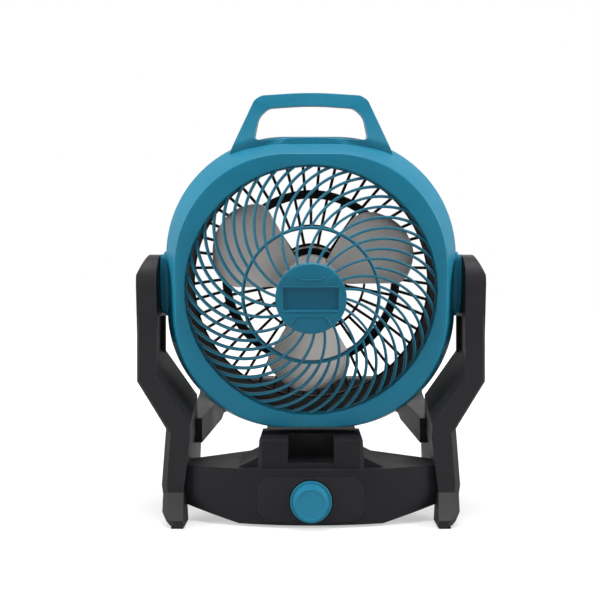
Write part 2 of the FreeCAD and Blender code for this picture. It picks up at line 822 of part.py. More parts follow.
def frameSide():
    """Right side frame: its shape seen from the front crossed with its shape from the side."""
    fromFront = prism("frame_front_view", "XZ_Plane", [
        ("footInner", "padTall"), ("footOuter", "padTall"), ("ankleOuter - 3", "padTall + 11"),
        ("ankleOuter", "ankleUp"), ("waistOuter", "waistUp"), ("armOuter", "kneeUp"),
        ("armOuter", "pivotUp + armCornerUp"), ("armOuter - armCornerIn", "pivotUp + armHead - 3"),
        ("armOuter - armCornerIn - 1", "pivotUp + armHead"), ("armInner", "pivotUp + armHead"),
        ("armInner", "kneeUp + 3"), ("waistInner", "waistUp + 3"), ("waistInner - 1", "waistUp - 10"),
        ("ankleInner", "ankleUp - 4")], "-hindFoot - 20", "hindFoot - footFront + 40")
    fromSide = prism("frame_side_view", "YZ_Plane", [
        ("footFront", "padTall"), ("footFront - 0.5", "padTall + 6"), ("armFront", "ankleUp - 6"),
        ("armFront", "pivotUp - armHead"), ("pivotBack - armHead", "pivotUp"),
        ("pivotBack + armHead", "pivotUp"), ("armBack", "pivotUp - armHead"),
        ("armBack", "waistUp + 14"), ("armBack + 24", "waistUp - 4"), ("hindFoot", "padTall + 6"),
        ("hindFoot", "padTall"), ("hindFoot - 22", "padTall"), ("hindArch", "archTop"),
        ("frontArch", "archTop"), ("footFront + 26", "padTall")], "100", "80")
    head = place(rod("frame_head", "armHead", "80", Vector(1, 0, 0)), "100", "pivotBack", "pivotUp")
    crossed = common("frame_crossed", joined("frame_side_whole", [fromSide, head]), fromFront)
    blank = brokenEdges("frame_blank", crossed, frontOuterEdges)
    channel = block("frame_channel", ("armInner - 1", "armFront + 4", "kneeUp + 9"),
                    ("armInner + channelDeep", "armBack - 4", "pivotUp - armHead - 3"))
    boltHole = place(rod("frame_bolt_hole", "boltRadius + 0.1", "60", Vector(1, 0, 0)),
                     "armInner - 10", "pivotBack", "pivotUp")
    boltSink = place(rod("frame_bolt_sink", "boltSink", "20", Vector(1, 0, 0)),
                     "boltSinkStart", "pivotBack", "pivotUp")
    carved = cut("frame_carved", blank, channel)
    whole = joined("frame_with_gusset", [carved, solidFeature("frame_gusset", gusset())])
    return cut("right_frame_cut", whole, boltHole, boltSink)


def gusset():
    """Web inside the arm's bend that climbs towards the back edge."""
    inner = size["waistInner"] - 0.5
    outer = size["armInner"] + size["channelDeep"] + 0.4
    slope = (size["kneeUp"] - size["waistUp"]) / (size["armInner"] - size["waistInner"])
    low = size["waistUp"] + 2.5
    high = low + slope * (outer - inner)
    ends = []
    for y, rise in ((size["armFront"] + 1, 0), (size["armBack"], size["gussetRise"])):
        corners = [Vector(inner, y, low - 8), Vector(outer, y, high - 8),
                   Vector(outer, y, high + rise), Vector(inner, y, low + rise)]
        ends.append(Part.makePolygon(corners + corners[:1]))
    return Part.makeLoft(ends, True, True)


def frontOuterEdges(shape):
    """Edges where the leg's front meets its outer side, with the width to break from each."""
    found = []
    below = size["pivotUp"] - size["armHead"]
    for number, edge in enumerate(shape.Edges, 1):
        middle = edge.valueAt((edge.FirstParameter + edge.LastParameter) / 2)
        normals = []
        for face in shape.ancestorsOfType(edge, Part.Face):
            normals.append(face.normalAt(*face.Surface.parameter(middle)))
        front = any(normal.y < -0.5 for normal in normals)
        outer = any(normal.x > 0.6 for normal in normals)
        onFrontLeg = middle.y < size["frontArch"] and middle.z < below
        if front and outer and onFrontLeg:
            width = "legChamfer" if middle.z < size["waistUp"] else "armChamfer"
            found.append((number, size[width]))
    return found


def brokenEdges(label, source, pick):
    """A chamfer on the edges that a rule picks, each with its own width."""
    doc.recompute()
    feature = doc.addObject("Part::Chamfer", label)
    feature.Base = source
    feature.Edges = [(number, width, width) for number, width in pick(source.Shape)]
    return feature


def sideHardware():
    """Bolt, washer and cover cap of the right tilt pivot."""
    shank = place(rod("bolt_shank", "boltRadius", "boltSinkStart - boltReach", Vector(1, 0, 0)),
                  "boltReach", "pivotBack", "pivotUp")
    top = place(rod("bolt_head", "boltHeadRadius", "boltHeadTall", Vector(1, 0, 0)),
                "boltSinkStart", "pivotBack", "pivotUp")
    bolt = joined("right_bolt", [shank, top])
    cap = place(rod("right_cap", "boltSink - 0.1", "3", Vector(1, 0, 0)),
                "boltSinkStart + boltHeadTall + 0.2", "pivotBack", "pivotUp")
    return bolt, cap


def frameScrews():
    spots = [(size["frameScrewOut"], size["frameScrewBack"], z) for z in (26, 40)]
    screws = []
    for sign in (1, -1):
        axis = Vector(-sign, 0, 0)
        places = [Vector(sign * x, y, z) for x, y, z in spots]
        screws += screwSet("frame_screw_set", places, axis, 4, 3, 2, 24).Shape.Solids
    return solidFeature("frame_screws", Part.makeCompound(screws))


def bowedFace(label, grow):
    """An upright cylinder whose front follows the base's bowed face."""
    deep = "(baseCheek - baseBow)"
    radius = f"((baseHalf^2 + {deep}^2) / (2 * {deep}))"
    drum = rod(label, f"{radius} + {grow}", "120")
    return place(drum, "0", f"baseBow + {radius}", "-20")


def panelBlank(label, grow):
    """The cut-cornered outline of the control panel, pulled through the base's face."""
    half = f"(panelHalf + {grow})"
    low = f"(panelLow - {grow})"
    high = f"(panelHigh + {grow})"
    corner = "panelCorner"
    points = [(half, f"{low} + {corner}"), (half, f"{high} - {corner}"),
              (f"{half} - {corner}", high), (f"{corner} - {half}", high),
              (f"-{half}", f"{high} - {corner}"), (f"-{half}", f"{low} + {corner}"),
              (f"{corner} - {half}", low), (f"{half} - {corner}", low)]
    return prism(label, "XZ_Plane", points, "-baseBow - 14", "40")


def baseHousing(frames, screws):
    """Bowed base, neck with its notch, and the battery bay behind."""
    plan = prism("base_plan", "XY_Plane", [
        ("baseHalf", "baseBow - 5"), ("baseHalf", "baseCheek + 22"), ("baseTailHalf + 12", "0"),
        ("baseTailHalf", "12"), ("baseTailHalf", "baseBack"), ("-baseTailHalf", "baseBack"),
        ("-baseTailHalf", "12"), ("-baseTailHalf - 12", "0"), ("-baseHalf", "baseCheek + 22"),
        ("-baseHalf", "baseBow - 5")], "baseFloor", "baseTop - baseFloor")
    deck = common("base_deck", plan, bowedFace("base_bow", "0"))
    keels = []
    for side, sign in (("right", ""), ("left", "-")):
        points = [(f"{sign}keelHalf", "baseFloor"), (f"{sign}(baseHalf + 4)", "keelRise"),
                  (f"{sign}(baseHalf + 4)", "0"), (f"{sign}keelHalf", "0")]
        keels.append(prism(f"keel_cut_{side}", "XZ_Plane", points, "-baseBack - 10", "200"))
    column = prism("neck_plan", "XY_Plane", [
        ("neckFootHalf", "neckFront + neckCorner"), ("neckFootHalf", "neckBack"),
        ("-neckFootHalf", "neckBack"), ("-neckFootHalf", "neckFront + neckCorner"),
        ("neckCorner - neckFootHalf", "neckFront"), ("neckFootHalf - neckCorner", "neckFront")],
        "baseTop - 2", "neckTop - baseTop + 2")
    taper = prism("neck_taper", "XZ_Plane", [
        ("neckFootHalf", "baseTop - 2"), ("neckTopHalf", "neckTop"), ("-neckTopHalf", "neckTop"),
        ("-neckFootHalf", "baseTop - 2")], "-neckBack - 5", "neckBack - neckFront + 20")
    flare = prism("neck_flare", "XZ_Plane", [
        ("neckFootHalf + neckFlare", "baseTop - 2"), ("neckFootHalf", "baseTop + neckFlareUp"),
        ("-neckFootHalf", "baseTop + neckFlareUp"), ("-neckFootHalf - neckFlare", "baseTop - 2")],
        "-neckBack", "neckBack - neckFront - 6")
    tower = block("bay_tower", ("-bayHalf - bayWall", "bayFront - 9", "baseFloor"),
                  ("bayHalf + bayWall", "baseBack", "bayCoverTop"))
    whole = joined("base_whole", [deck, common("neck_column", column, taper), flare, tower])
    notch = block("neck_notch", ("-notchHalf", "neckFront - 5", "notchFloor"),
                  ("notchHalf", "neckFront + notchDeep", "neckTop + 5"))
    bay = block("battery_bay", ("-bayHalf", "bayFront", "bayFloor"),
                ("bayHalf", "baseBack + 5", "bayRoof"))
    room = block("control_room", ("-roomHalf", "roomFront", "coverTop"),
                 ("roomHalf", "bayFront - 12", "roomTop"))
    rebate = block("cover_rebate", ("-roomHalf - 4", "roomFront - 1", "0"),
                   ("roomHalf + 4", "bayFront - 8", "coverTop"))
    sunk = cut("panel_seat", panelBlank("panel_seat_blank", "0.15"),
               bowedFace("panel_seat_back", "-panelThick"))
    bushing = place(rod("bushing_hole", "bushingRadius + 0.2", "30", Vector(0, -1, 0)),
                    "0", "roomFront + 5", "knobUp")
    blockSeat = block("block_seat", ("-blockHalf", "bayFront - 12", "blockLow"),
                      ("blockHalf", "bayFront + 1", "blockHigh"))
    knobSink = place(rod("base_knob_sink", "knobRadius + knobGap", "10", Vector(0, -1, 0)),
                     "0", "knobSeat", "knobUp")
    tools = keels + [notch, bay, room, rebate, sunk, bushing, blockSeat, knobSink] + frames + [screws]
    return cut("base_housing_cut", whole, *tools)


def controlPanel():
    plate = common("panel_bowed", panelBlank("panel_blank", "0"), bowedFace("panel_face", "panelProud"))
    shell = cut("panel_shell", plate, bowedFace("panel_back", "-panelThick"))
    sink = place(rod("knob_sink", "knobRadius + knobGap", "10", Vector(0, -1, 0)),
                 "0", "knobSeat", "knobUp")
    hole = place(rod("panel_hole", "bushingRadius + 0.2", "20", Vector(0, -1, 0)),
                 "0", "roomFront", "knobUp")
    return cut("control_panel_cut", shell, sink, hole)


def knobParts():
    """Speed knob on its spindle, both turned about the same axis."""
    tall = "(knobSeat - 0.4 - knobFront)"
    knob = turned("knob_turned", [
        ("spindleRadius", "0"), ("knobRadius", "0"), ("knobRadius", "knobFlange - 0.8"),
        ("knobRadius - 0.8", "knobFlange"), ("knobCapRadius + 0.6", "knobFlange"),
        ("knobCapRadius", "knobFlange + 0.8"), ("knobCapRadius - 0.5", f"{tall} - 1.4"),
        ("knobCapRadius - 1.9", tall), ("0", tall), ("0", f"{tall} - 3"),
        ("spindleRadius", f"{tall} - 3")])
    spindle = disc("knob_spindle_turned", "spindleRadius", "-potDeep - 4", f"{tall} - 3")
    for feature in (knob, spindle):
        feature.Placement.Rotation = FreeCAD.Rotation(Vector(1, 0, 0), 90)
        place(feature, "0", "knobSeat - 0.4", "knobUp")
    return knob, spindle


def rearBar(frames):
    """The rear bar that ties both side frames: its plan crossed with its side view."""
    half = [("barHalf", "barFront"), ("barHalf - 2", "barBack - 22"), ("barHalf - 22", "barBack")]
    inner = [("barTailInner - 8", "barBack - barWide"), ("barTailInner", "barBack - barWide - 8"),
             ("barRootInner", "barFront")]
    points = half + [("-(" + a + ")", b) for a, b in reversed(half)]
    points += [("-(" + a + ")", b) for a, b in reversed(inner)] + inner
    plan = prism("bar_plan", "XY_Plane", points, "barLow - 10", "90")
    side = prism("bar_side", "YZ_Plane", [
        ("barFront", "barLow"), ("barBack - 47", "barLow + 7"), ("barBack - 30", "barLow + 13"),
        ("barBack - barWide + 3", "barTailLow"), ("barBack + 1", "barTailLow + 2"),
        ("barBack + 1", "barTailHigh"), ("barBack - barWide + 2", "barTailHigh"),
        ("barBack - 40", "barHigh + 9"), ("barBack - 55", "barHigh + 5"), ("barFront + 12", "barHigh"),
        ("barFront", "barHigh - 2")], "-barHalf - 5", "2 * barHalf + 10")
    return cut("rear_bar_cut", common("bar_blank", plan, side), *frames)


def batteryPack():
    case = block("pack_case", ("-packHalf", "packFront", "packFloor"), ("packHalf", "packBack", "packSeam"))
    lid = block("pack_lid", ("-packHalf", "packFront", "packSeam"), ("packHalf", "packBack", "packTop"))
    rails = block("pack_rails", ("-railHalf", "packFront", "packTop - 1"),
                  ("railHalf", "packBack - 2", "railTop"))
    cover = joined("pack_cover_whole", [lid, rails])
    slots = []
    for sign in (1, -1):
        middle = f"{sign} * bladeApart"
        slots.append(block("pack_slot", (f"{middle} - 1.6", "packFront - 1", "packTop"),
                           (f"{middle} + 1.6", "packFront + 14", "railTop - 1.5")))
    well = block("latch_well", ("-latchHalf - runGap", "packBack - 16", "latchLow - latchTravel - 1"),
                 ("latchHalf + runGap", "packBack + 1", "railTop + 1"))
    latch = block("latch_block", ("-latchHalf", "packBack - 16 + runGap", "latchLow"),
                  ("latchHalf", "packBack - 0.5", "railTop + 1.2"))
    hollow = block("pack_hollow", ("-packHalf + 2", "packFront + 2", "packFloor + 2"),
                   ("packHalf - 2", "packBack - 2", "packSeam + 1"))
    loft = block("pack_loft", ("-packHalf + 2", "packFront + 18", "packSeam - 1"),
                 ("packHalf - 2", "packBack - 20", "packTop - 2"))
    return cut("pack_case_cut", case, hollow), cut("pack_cover_cut", cover, *slots, well, loft), latch


def batteryCells():
    """Ten round cells lying across the pack in two layers."""
    radius = size["cellRadius"]
    long_ = 2 * size["packHalf"] - 10
    cells = []
    for layer in range(2):
        for number in range(5):
            spot = Vector(-long_ / 2, size["packFront"] + 4 + radius + number * (2 * radius + 1.2),
                          size["packFloor"] + 2.2 + radius + layer * (2 * radius + 0.3))
            cells.append(Part.makeCylinder(radius, long_, spot, Vector(1, 0, 0)))
    return solidFeature("battery_cells", Part.makeCompound(cells))


rightFrame = frameSide()
screws = frameScrews()
rightCut = cut("right_side_frame", rightFrame, screws)
leftCut = mirrored("left_side_frame", rightCut)
keep(rightCut, "right_side_frame")
keep(leftCut, "left_side_frame")
keep(screws, "frame_screws")
frames = [rightCut, leftCut]
bolt, cap = sideHardware()
keep(bolt, "right_pivot_bolt")
keep(mirrored("left_bolt", bolt), "left_pivot_bolt")
keep(cap, "right_pivot_cap")
keep(mirrored("left_cap", cap), "left_pivot_cap")
keep(baseHousing(frames, screws), "base_housing")
keep(controlPanel(), "control_panel")
keep(rearBar(frames), "rear_bar")
cover = block("bottom_cover_plate", ("-roomHalf - 3.8", "roomFront - 0.8", "baseFloor"),
              ("roomHalf + 3.8", "bayFront - 8.2", "coverTop"))
keep(cover, "base_bottom_cover")
pads = []
for sign in (1, -1):
    for back in ("footFront + 2.5", "hindFoot - 20"):
        middle = f"{sign} * (footInner + footOuter) / 2"
        pads.append(block("pad", (f"{middle} - 5.5", back, "0"), (f"{middle} + 5.5", f"{back} + 17", "padTall")))
keep(group("foot_pads", pads), "foot_pads")
knob, spindle = knobParts()
keep(knob, "speed_knob")
keep(spindle, "knob_spindle")
potBack = "knobSeat - 0.4 + potDeep"
potCase = block("pot_case", ("-8.5", "roomFront + 1", "knobUp - 8.5"), ("8.5", potBack, "knobUp + 8.5"))
bushing = place(rod("pot_bushing", "bushingRadius", f"roomFront + 1 - (knobSeat + 0.3)", Vector(0, -1, 0)),
                "0", "roomFront + 1", "knobUp")
spindleHole = place(rod("pot_hole", "spindleRadius + boltPlay", "40", Vector(0, -1, 0)),
                    "0", "roomFront + 20", "knobUp")
keep(cut("speed_control_cut", joined("pot_whole", [potCase, bushing]), spindleHole), "speed_control")
board = block("board", ("-roomHalf + 3", "boardBack", "coverTop + 2"), ("roomHalf - 3", "boardBack + 1.6", "roomTop - 2"))
keep(board, "control_board")
terminal = block("terminal_block_whole", ("-blockHalf", "bayFront - 8", "blockLow"),
                 ("blockHalf", "bayFront", "blockHigh"))
keep(terminal, "terminal_block")
blades = [block("blade", (f"{sign} * bladeApart - 0.5", "bayFront", "packTop + 1.5"),
                (f"{sign} * bladeApart + 0.5", "packFront + 10", "railTop - 3")) for sign in (1, -1)]
keep(group("terminal_blades", blades), "terminal_blades")
packCase, packCover, latch = batteryPack()
keep(packCase, "battery_case")
keep(packCover, "battery_cover")
keep(batteryCells(), "battery_cells")
keep(latch, "battery_latch")

doc.recompute()
for thing in doc.Objects:
    if "Invalid" in thing.State or "Error" in thing.State:
        raise SystemExit(f"{thing.Label} failed: {thing.State}")
for feature in kept:
    shape = feature.Shape
    if shape.isNull() or not shape.isValid():
        raise SystemExit(f"{feature.Label} has no valid shape")
for feature in kept:
    feature.Shape.exportStep(f"parts/{feature.Label}.step")
    box = feature.Shape.BoundBox
    print(f"{feature.Label}: {len(feature.Shape.Solids)} solids, {feature.Shape.Volume / 1000:.1f} cm3, "
          f"x {box.XMin:.1f} to {box.XMax:.1f}, y {box.YMin:.1f} to {box.YMax:.1f}, "
          f"z {box.ZMin:.1f} to {box.ZMax:.1f}")
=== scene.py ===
import math
import bmesh
import bpy
from mathutils import Matrix, Vector


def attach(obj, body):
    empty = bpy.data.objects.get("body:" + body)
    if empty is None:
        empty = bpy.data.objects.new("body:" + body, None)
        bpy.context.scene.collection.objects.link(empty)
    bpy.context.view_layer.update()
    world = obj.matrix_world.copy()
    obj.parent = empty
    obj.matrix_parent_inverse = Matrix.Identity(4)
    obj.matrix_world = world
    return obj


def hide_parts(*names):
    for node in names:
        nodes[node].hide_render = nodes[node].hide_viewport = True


# Portable battery fan on its tilting stand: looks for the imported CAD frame.
# Lengths beside the pieces are in millimetres; the scene itself is in metres.

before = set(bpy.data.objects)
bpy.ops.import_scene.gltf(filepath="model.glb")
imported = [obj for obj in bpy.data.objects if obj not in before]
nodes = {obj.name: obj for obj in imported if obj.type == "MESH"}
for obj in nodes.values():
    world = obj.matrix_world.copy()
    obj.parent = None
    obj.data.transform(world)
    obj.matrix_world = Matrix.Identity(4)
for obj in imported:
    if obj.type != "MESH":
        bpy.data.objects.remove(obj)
for starter in ("Cube", "Light", "Camera"):
    if starter in bpy.data.objects:
        bpy.data.objects.remove(bpy.data.objects[starter])
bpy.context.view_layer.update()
millimetre = 0.001
perMetre = 1 / millimetre
print("stage: frame loaded")


# Places and small helpers

headPose = {"pivot": (0, -47.5, 222), "lean": 9, "drop": 3.6}    # tilt axis, rest angle, fan axis below it
toMetres = Matrix.Scale(millimetre, 4)
tiltMatrix = (toMetres @ Matrix.Translation(headPose["pivot"])
              @ Matrix.Rotation(math.radians(90 + headPose["lean"]), 4, "X"))
headMatrix = tiltMatrix @ Matrix.Translation((0, -headPose["drop"], 0))
meshing = {"mergeWithin": 1e-6, "normalWeight": 60, "cornerShare": 0.48}


def mix(a, b, share):
    return a + (b - a) * share


def turnAbout(axis, degrees):
    return Matrix.Rotation(math.radians(degrees), 4, axis)


def loopFaces(faces, first, second, count):
    # quads between two rings of points that start at these numbers
    for step in range(count):
        after = (step + 1) % count
        faces.append((first + step, first + after, second + after, second + step))


def makePiece(name, points, faces, body, material, slot, matrix, replaces=(), sharp=35):
    # edges that turn by more than the sharp angle keep a crease
    mesh = bpy.data.meshes.new(name)
    mesh.from_pydata([matrix @ Vector(point) for point in points], [], faces)
    mesh.update()
    work = bmesh.new()
    work.from_mesh(mesh)
    bmesh.ops.remove_doubles(work, verts=work.verts, dist=meshing["mergeWithin"])
    bmesh.ops.recalc_face_normals(work, faces=work.faces)
    work.to_mesh(mesh)
    work.free()
    for polygon in mesh.polygons:
        polygon.use_smooth = True
    mesh.set_sharp_from_angle(angle=math.radians(sharp))
    piece = bpy.data.objects.new(name, mesh)
    bpy.context.scene.collection.objects.link(piece)
    mesh.materials.append(material)
    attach(piece, body)
    if replaces:
        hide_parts(*replaces)
    return piece


def roundedEdges(piece, width, segments=3, angle=24, profile=0.5):
    bevel = piece.modifiers.new("roundedEdges", "BEVEL")
    bevel.width = width * millimetre
    bevel.segments = segments
    bevel.profile = profile
    bevel.limit_method = "ANGLE"
    bevel.angle_limit = math.radians(angle)
    bevel.use_clamp_overlap = True
    bevel.miter_outer = "MITER_ARC"
    level = piece.modifiers.new("evenNormals", "WEIGHTED_NORMAL")
    level.weight = meshing["normalWeight"]
    level.keep_sharp = False


def starPoint(halfX, halfY, corner, angle):
    # where a ray from the middle meets a rounded rectangle
    across, up = abs(math.cos(angle)), abs(math.sin(angle))
    flatX, flatY = halfX - corner, halfY - corner
    if across * flatY >= up * halfX:
        reach = halfX / across
    elif up * flatX >= across * halfY:
        reach = halfY / up
    else:
        along = flatX * across + flatY * up
        reach = along + math.sqrt(max(0, along ** 2 - flatX ** 2 - flatY ** 2 + corner ** 2))
    return reach * math.cos(angle), reach * math.sin(angle)


def starLoop(section, count):
    # a section is (half width, half height, corner radius, height) and may end with a shift along Y
    halfX, halfY, corner, height, *shift = section
    corner = min(corner, halfX, halfY)
    loop = []
    for step in range(count):
        across, up = starPoint(halfX, halfY, corner, 2 * math.pi * (step + 0.5) / count)
        loop.append((across, up + sum(shift), height))
    return loop


def circle(radius, height):
    # a round section
    return (radius, radius, radius, height)


def softened(sections, breaks, steps=4):
    # round the corners of a list of sections: breaks maps a section's number to its rounding
    smooth = []
    for number, section in enumerate(sections):
        if number not in breaks or number in (0, len(sections) - 1):
            smooth.append(section)
            continue
        here = Vector(section)
        ends = []
        for other in (Vector(sections[number - 1]), Vector(sections[number + 1])):
            gap = other - here
            ends.append(here + gap * min(0.5, breaks[number] / max(gap.length, 1e-6)))
        for step in range(steps + 1):
            share = step / steps
            first = ends[0].lerp(here, share)
            smooth.append(tuple(first.lerp(here.lerp(ends[1], share), share)))
    return smooth


def starPiece(name, sections, body, material, count, closedRing=False, **extra):
    # rings of rounded rectangles or circles joined one after the other
    points, faces = [], []
    for section in sections:
        points += starLoop(section, count)
    total = len(sections)
    for number in range(total if closedRing else total - 1):
        loopFaces(faces, number * count, (number + 1) % total * count, count)
    if not closedRing:
        for number in (0, total - 1):
            if max(sections[number][:2]) > 1e-3:
                faces.append(tuple(number * count + step for step in range(count)))
    return makePiece(name, points, faces, body, material, **extra)


def turnedPiece(name, profile, body, material, count, **extra):
    # radius and height pairs turned about the local Z axis
    sections = [circle(max(radius, 1e-4), height) for radius, height in profile]
    return starPiece(name, sections, body, material, count, **extra)


def roundedProfile(profile, rounding, steps):
    # radius and height pairs with every inner corner rounded alike
    sections = [circle(radius, height) for radius, height in profile]
    breaks = {number: rounding for number in range(1, len(profile) - 1)}
    return [(section[0], section[3]) for section in softened(sections, breaks, steps)]


def sweptTube(points, faces, path, section, closed=False):
    # path entries are (place, side direction, up direction); the section is (side, up) pairs
    first = len(points)
    count = len(section)
    for place, side, up in path:
        points += [place + side * across + up * rise for across, rise in section]
    for number in range(len(path) if closed else len(path) - 1):
        after = (number + 1) % len(path)
        loopFaces(faces, first + number * count, first + after * count, count)
    if not closed:
        for number in (0, len(path) - 1):
            faces.append(tuple(first + number * count + step for step in range(count)))


def roundedBar(width, depth, steps=12, power=3.2):
    # a moulded bar's section: a rounded rectangle whose top is at height 0
    section = []
    for step in range(steps):
        angle = 2 * math.pi * (step + 0.5) / steps
        across, up = math.cos(angle), math.sin(angle)
        reach = (abs(across) ** power + abs(up) ** power) ** (-1 / power)
        section.append((width / 2 * reach * across, depth / 2 * (reach * up - 1)))
    return section


def roundedPath(corners, rounding, steps, closed=True):
    # a flat outline with its corners rounded; rounding is one number or one for each corner
    count = len(corners)
    path = []
    for number in range(count):
        here = Vector(corners[number])
        if not closed and number in (0, count - 1):
            path.append(here)
            continue
        size = rounding[number] if isinstance(rounding, (list, tuple)) else rounding
        ends = []
        for other in (Vector(corners[number - 1]), Vector(corners[(number + 1) % count])):
            gap = other - here
            ends.append(here + gap * min(meshing["cornerShare"], size / max(gap.length, 1e-6)))
        for step in range(steps + 1):
            share = step / steps
            path.append(ends[0].lerp(here, share).lerp(here.lerp(ends[1], share), share))
    return path


# Materials

def tint(red, green, blue):
    # a colour read as 0 to 255 on screen, made linear
    linear = []
    for level in (red, green, blue):
        share = level / 255
        linear.append(share / 12.92 if share <= 0.04045 else ((share + 0.055) / 1.055) ** 2.4)
    return (*linear, 1)


def addNode(tree, kind, inputs=None, **settings):
    node = tree.nodes.new(kind)
    for name, value in settings.items():
        setattr(node, name, value)
    for name, value in (inputs or {}).items():
        if isinstance(value, bpy.types.NodeSocket):
            tree.links.new(value, node.inputs[name])
        else:
            node.inputs[name].default_value = value
    return node


def mathNode(tree, operation, first, second=0.0, clamp=False):
    return addNode(tree, "ShaderNodeMath", {0: first, 1: second}, operation=operation,
                   use_clamp=clamp).outputs[0]


def times(tree, first, second, clamp=False):
    return mathNode(tree, "MULTIPLY", first, second, clamp)


def spread(tree, value, low, high, toLow=0.0, toHigh=1.0):
    # a value from low to high eased into another range
    inputs = {"Value": value, "From Min": low, "From Max": high, "To Min": toLow, "To Max": toHigh}
    return addNode(tree, "ShaderNodeMapRange", inputs, interpolation_type="SMOOTHSTEP").outputs[0]


def mixColour(tree, share, first, second):
    return addNode(tree, "ShaderNodeMix", {0: share, 6: first, 7: second}, data_type="RGBA").outputs[2]


def noise(tree, place, scale, detail, roughness=0.5):
    inputs = {"Vector": place, "Scale": scale, "Detail": detail, "Roughness": roughness}
    return addNode(tree, "ShaderNodeTexNoise", inputs).outputs["Fac"]


def perSize(tree, size):
    # the noise scale for a size in millimetres
    return mathNode(tree, "DIVIDE", perMetre, size)


def newGroup(name, inputs, outputs):
    group = bpy.data.node_groups.new(name, "ShaderNodeTree")
    for label, value in inputs:
        socket = group.interface.new_socket(label, in_out="INPUT", socket_type="NodeSocketFloat")
        socket.default_value = value
    for label in outputs:
        group.interface.new_socket(label, in_out="OUTPUT", socket_type="NodeSocketFloat")
    return group, group.nodes.new("NodeGroupInput").outputs, group.nodes.new("NodeGroupOutput").inputs


def placeGroup(tree, group, **values):
    node = tree.nodes.new("ShaderNodeGroup")
    node.node_tree = group
    for name, value in values.items():
        node.inputs[name.replace("_", " ")].default_value = value
    return node.outputs


grainEffect = {"detail": 3.0, "roughness": 0.6, "share": 0.6, "pitScale": 0.8, "pitShare": 0.4,
               "waveDetail": 1.0, "waveRoughness": 0.4}


def buildMouldedGrain():
    # fine spark-eroded grain with a slow waviness of the tool's surface; sizes in millimetres
    e = grainEffect
    inputs = [("Grain Size", 0.5), ("Grain Share", 1.0), ("Wave Size", 30.0), ("Wave Share", 1.0)]
    group, given, result = newGroup("mouldedGrain", inputs, ["Height", "Grain", "Wave"])
    place = addNode(group, "ShaderNodeTexCoord").outputs["Object"]
    scale = perSize(group, given["Grain Size"])
    grain = noise(group, place, scale, e["detail"], e["roughness"])
    pitScale = times(group, scale, e["pitScale"])
    pits = addNode(group, "ShaderNodeTexVoronoi", {"Vector": place, "Scale": pitScale},
                   feature="SMOOTH_F1").outputs["Distance"]
    both = mathNode(group, "ADD", times(group, grain, e["share"]), times(group, pits, e["pitShare"]))
    wave = noise(group, place, perSize(group, given["Wave Size"]), e["waveDetail"], e["waveRoughness"])
    height = mathNode(group, "ADD", times(group, both, given["Grain Share"]),
                      times(group, wave, given["Wave Share"]))
    group.links.new(height, result["Height"])
    group.links.new(both, result["Grain"])
    group.links.new(wave, result["Wave"])
    return group


wearEffect = {"samples": 6, "flat": 0.995, "edge": 0.86, "detail": 6.0, "roughness": 0.65,
              "patchFrom": 0.42, "patchTo": 0.66}


def buildEdgeWear():
    # where an edge is near, broken up by noise; sizes in millimetres
    e = wearEffect
    inputs = [("Edge Width", 0.6), ("Amount", 0.5), ("Patch Size", 8.0)]
    group, given, result = newGroup("edgeWear", inputs, ["Mask"])
    width = mathNode(group, "DIVIDE", given["Edge Width"], perMetre)
    bevelled = addNode(group, "ShaderNodeBevel", {"Radius": width}, samples=e["samples"]).outputs[0]
    plain = addNode(group, "ShaderNodeNewGeometry").outputs["Normal"]
    alike = addNode(group, "ShaderNodeVectorMath", {0: bevelled, 1: plain}, operation="DOT_PRODUCT")
    edge = spread(group, alike.outputs["Value"], e["flat"], e["edge"])
    place = addNode(group, "ShaderNodeTexCoord").outputs["Object"]
    patches = noise(group, place, perSize(group, given["Patch Size"]), e["detail"], e["roughness"])
    broken = spread(group, patches, e["patchFrom"], e["patchTo"])
    mask = times(group, times(group, edge, broken), given["Amount"], True)
    group.links.new(mask, result["Mask"])
    return group


dustEffect = {"levelFrom": 0.25, "levelTo": 0.95, "detail": 5.0, "roughness": 0.6, "patchFrom": 0.35,
              "patchTo": 0.7, "speckScale": 900.0, "speckDetail": 2.0, "speckFrom": 0.4, "speckTo": 0.62}


def buildSettledDust():
    # dust on faces that look up at rest, in patches and specks
    e = dustEffect
    group, given, result = newGroup("settledDust", [("Amount", 0.3), ("Patch Size", 25.0)], ["Mask"])
    where = addNode(group, "ShaderNodeTexCoord").outputs
    upward = addNode(group, "ShaderNodeSeparateXYZ", {0: where["Normal"]}).outputs["Z"]
    level = spread(group, upward, e["levelFrom"], e["levelTo"])
    patches = noise(group, where["Object"], perSize(group, given["Patch Size"]), e["detail"], e["roughness"])
    specks = noise(group, where["Object"], e["speckScale"], e["speckDetail"])
    share = times(group, spread(group, patches, e["patchFrom"], e["patchTo"]),
                  spread(group, specks, e["speckFrom"], e["speckTo"]))
    mask = times(group, times(group, level, share), given["Amount"], True)
    group.links.new(mask, result["Mask"])
    return group


markEffect = {"rubDetail": 4.0, "rubRoughness": 0.55, "rubFrom": 0.35, "rubTo": 0.7,
              "stretch": (1.0, 9.0, 5.0), "turn": (0.4, 0.9, 0.3), "scuffDetail": 8.0,
              "scuffRoughness": 0.7, "scuffFrom": 0.64, "scuffTo": 0.74}


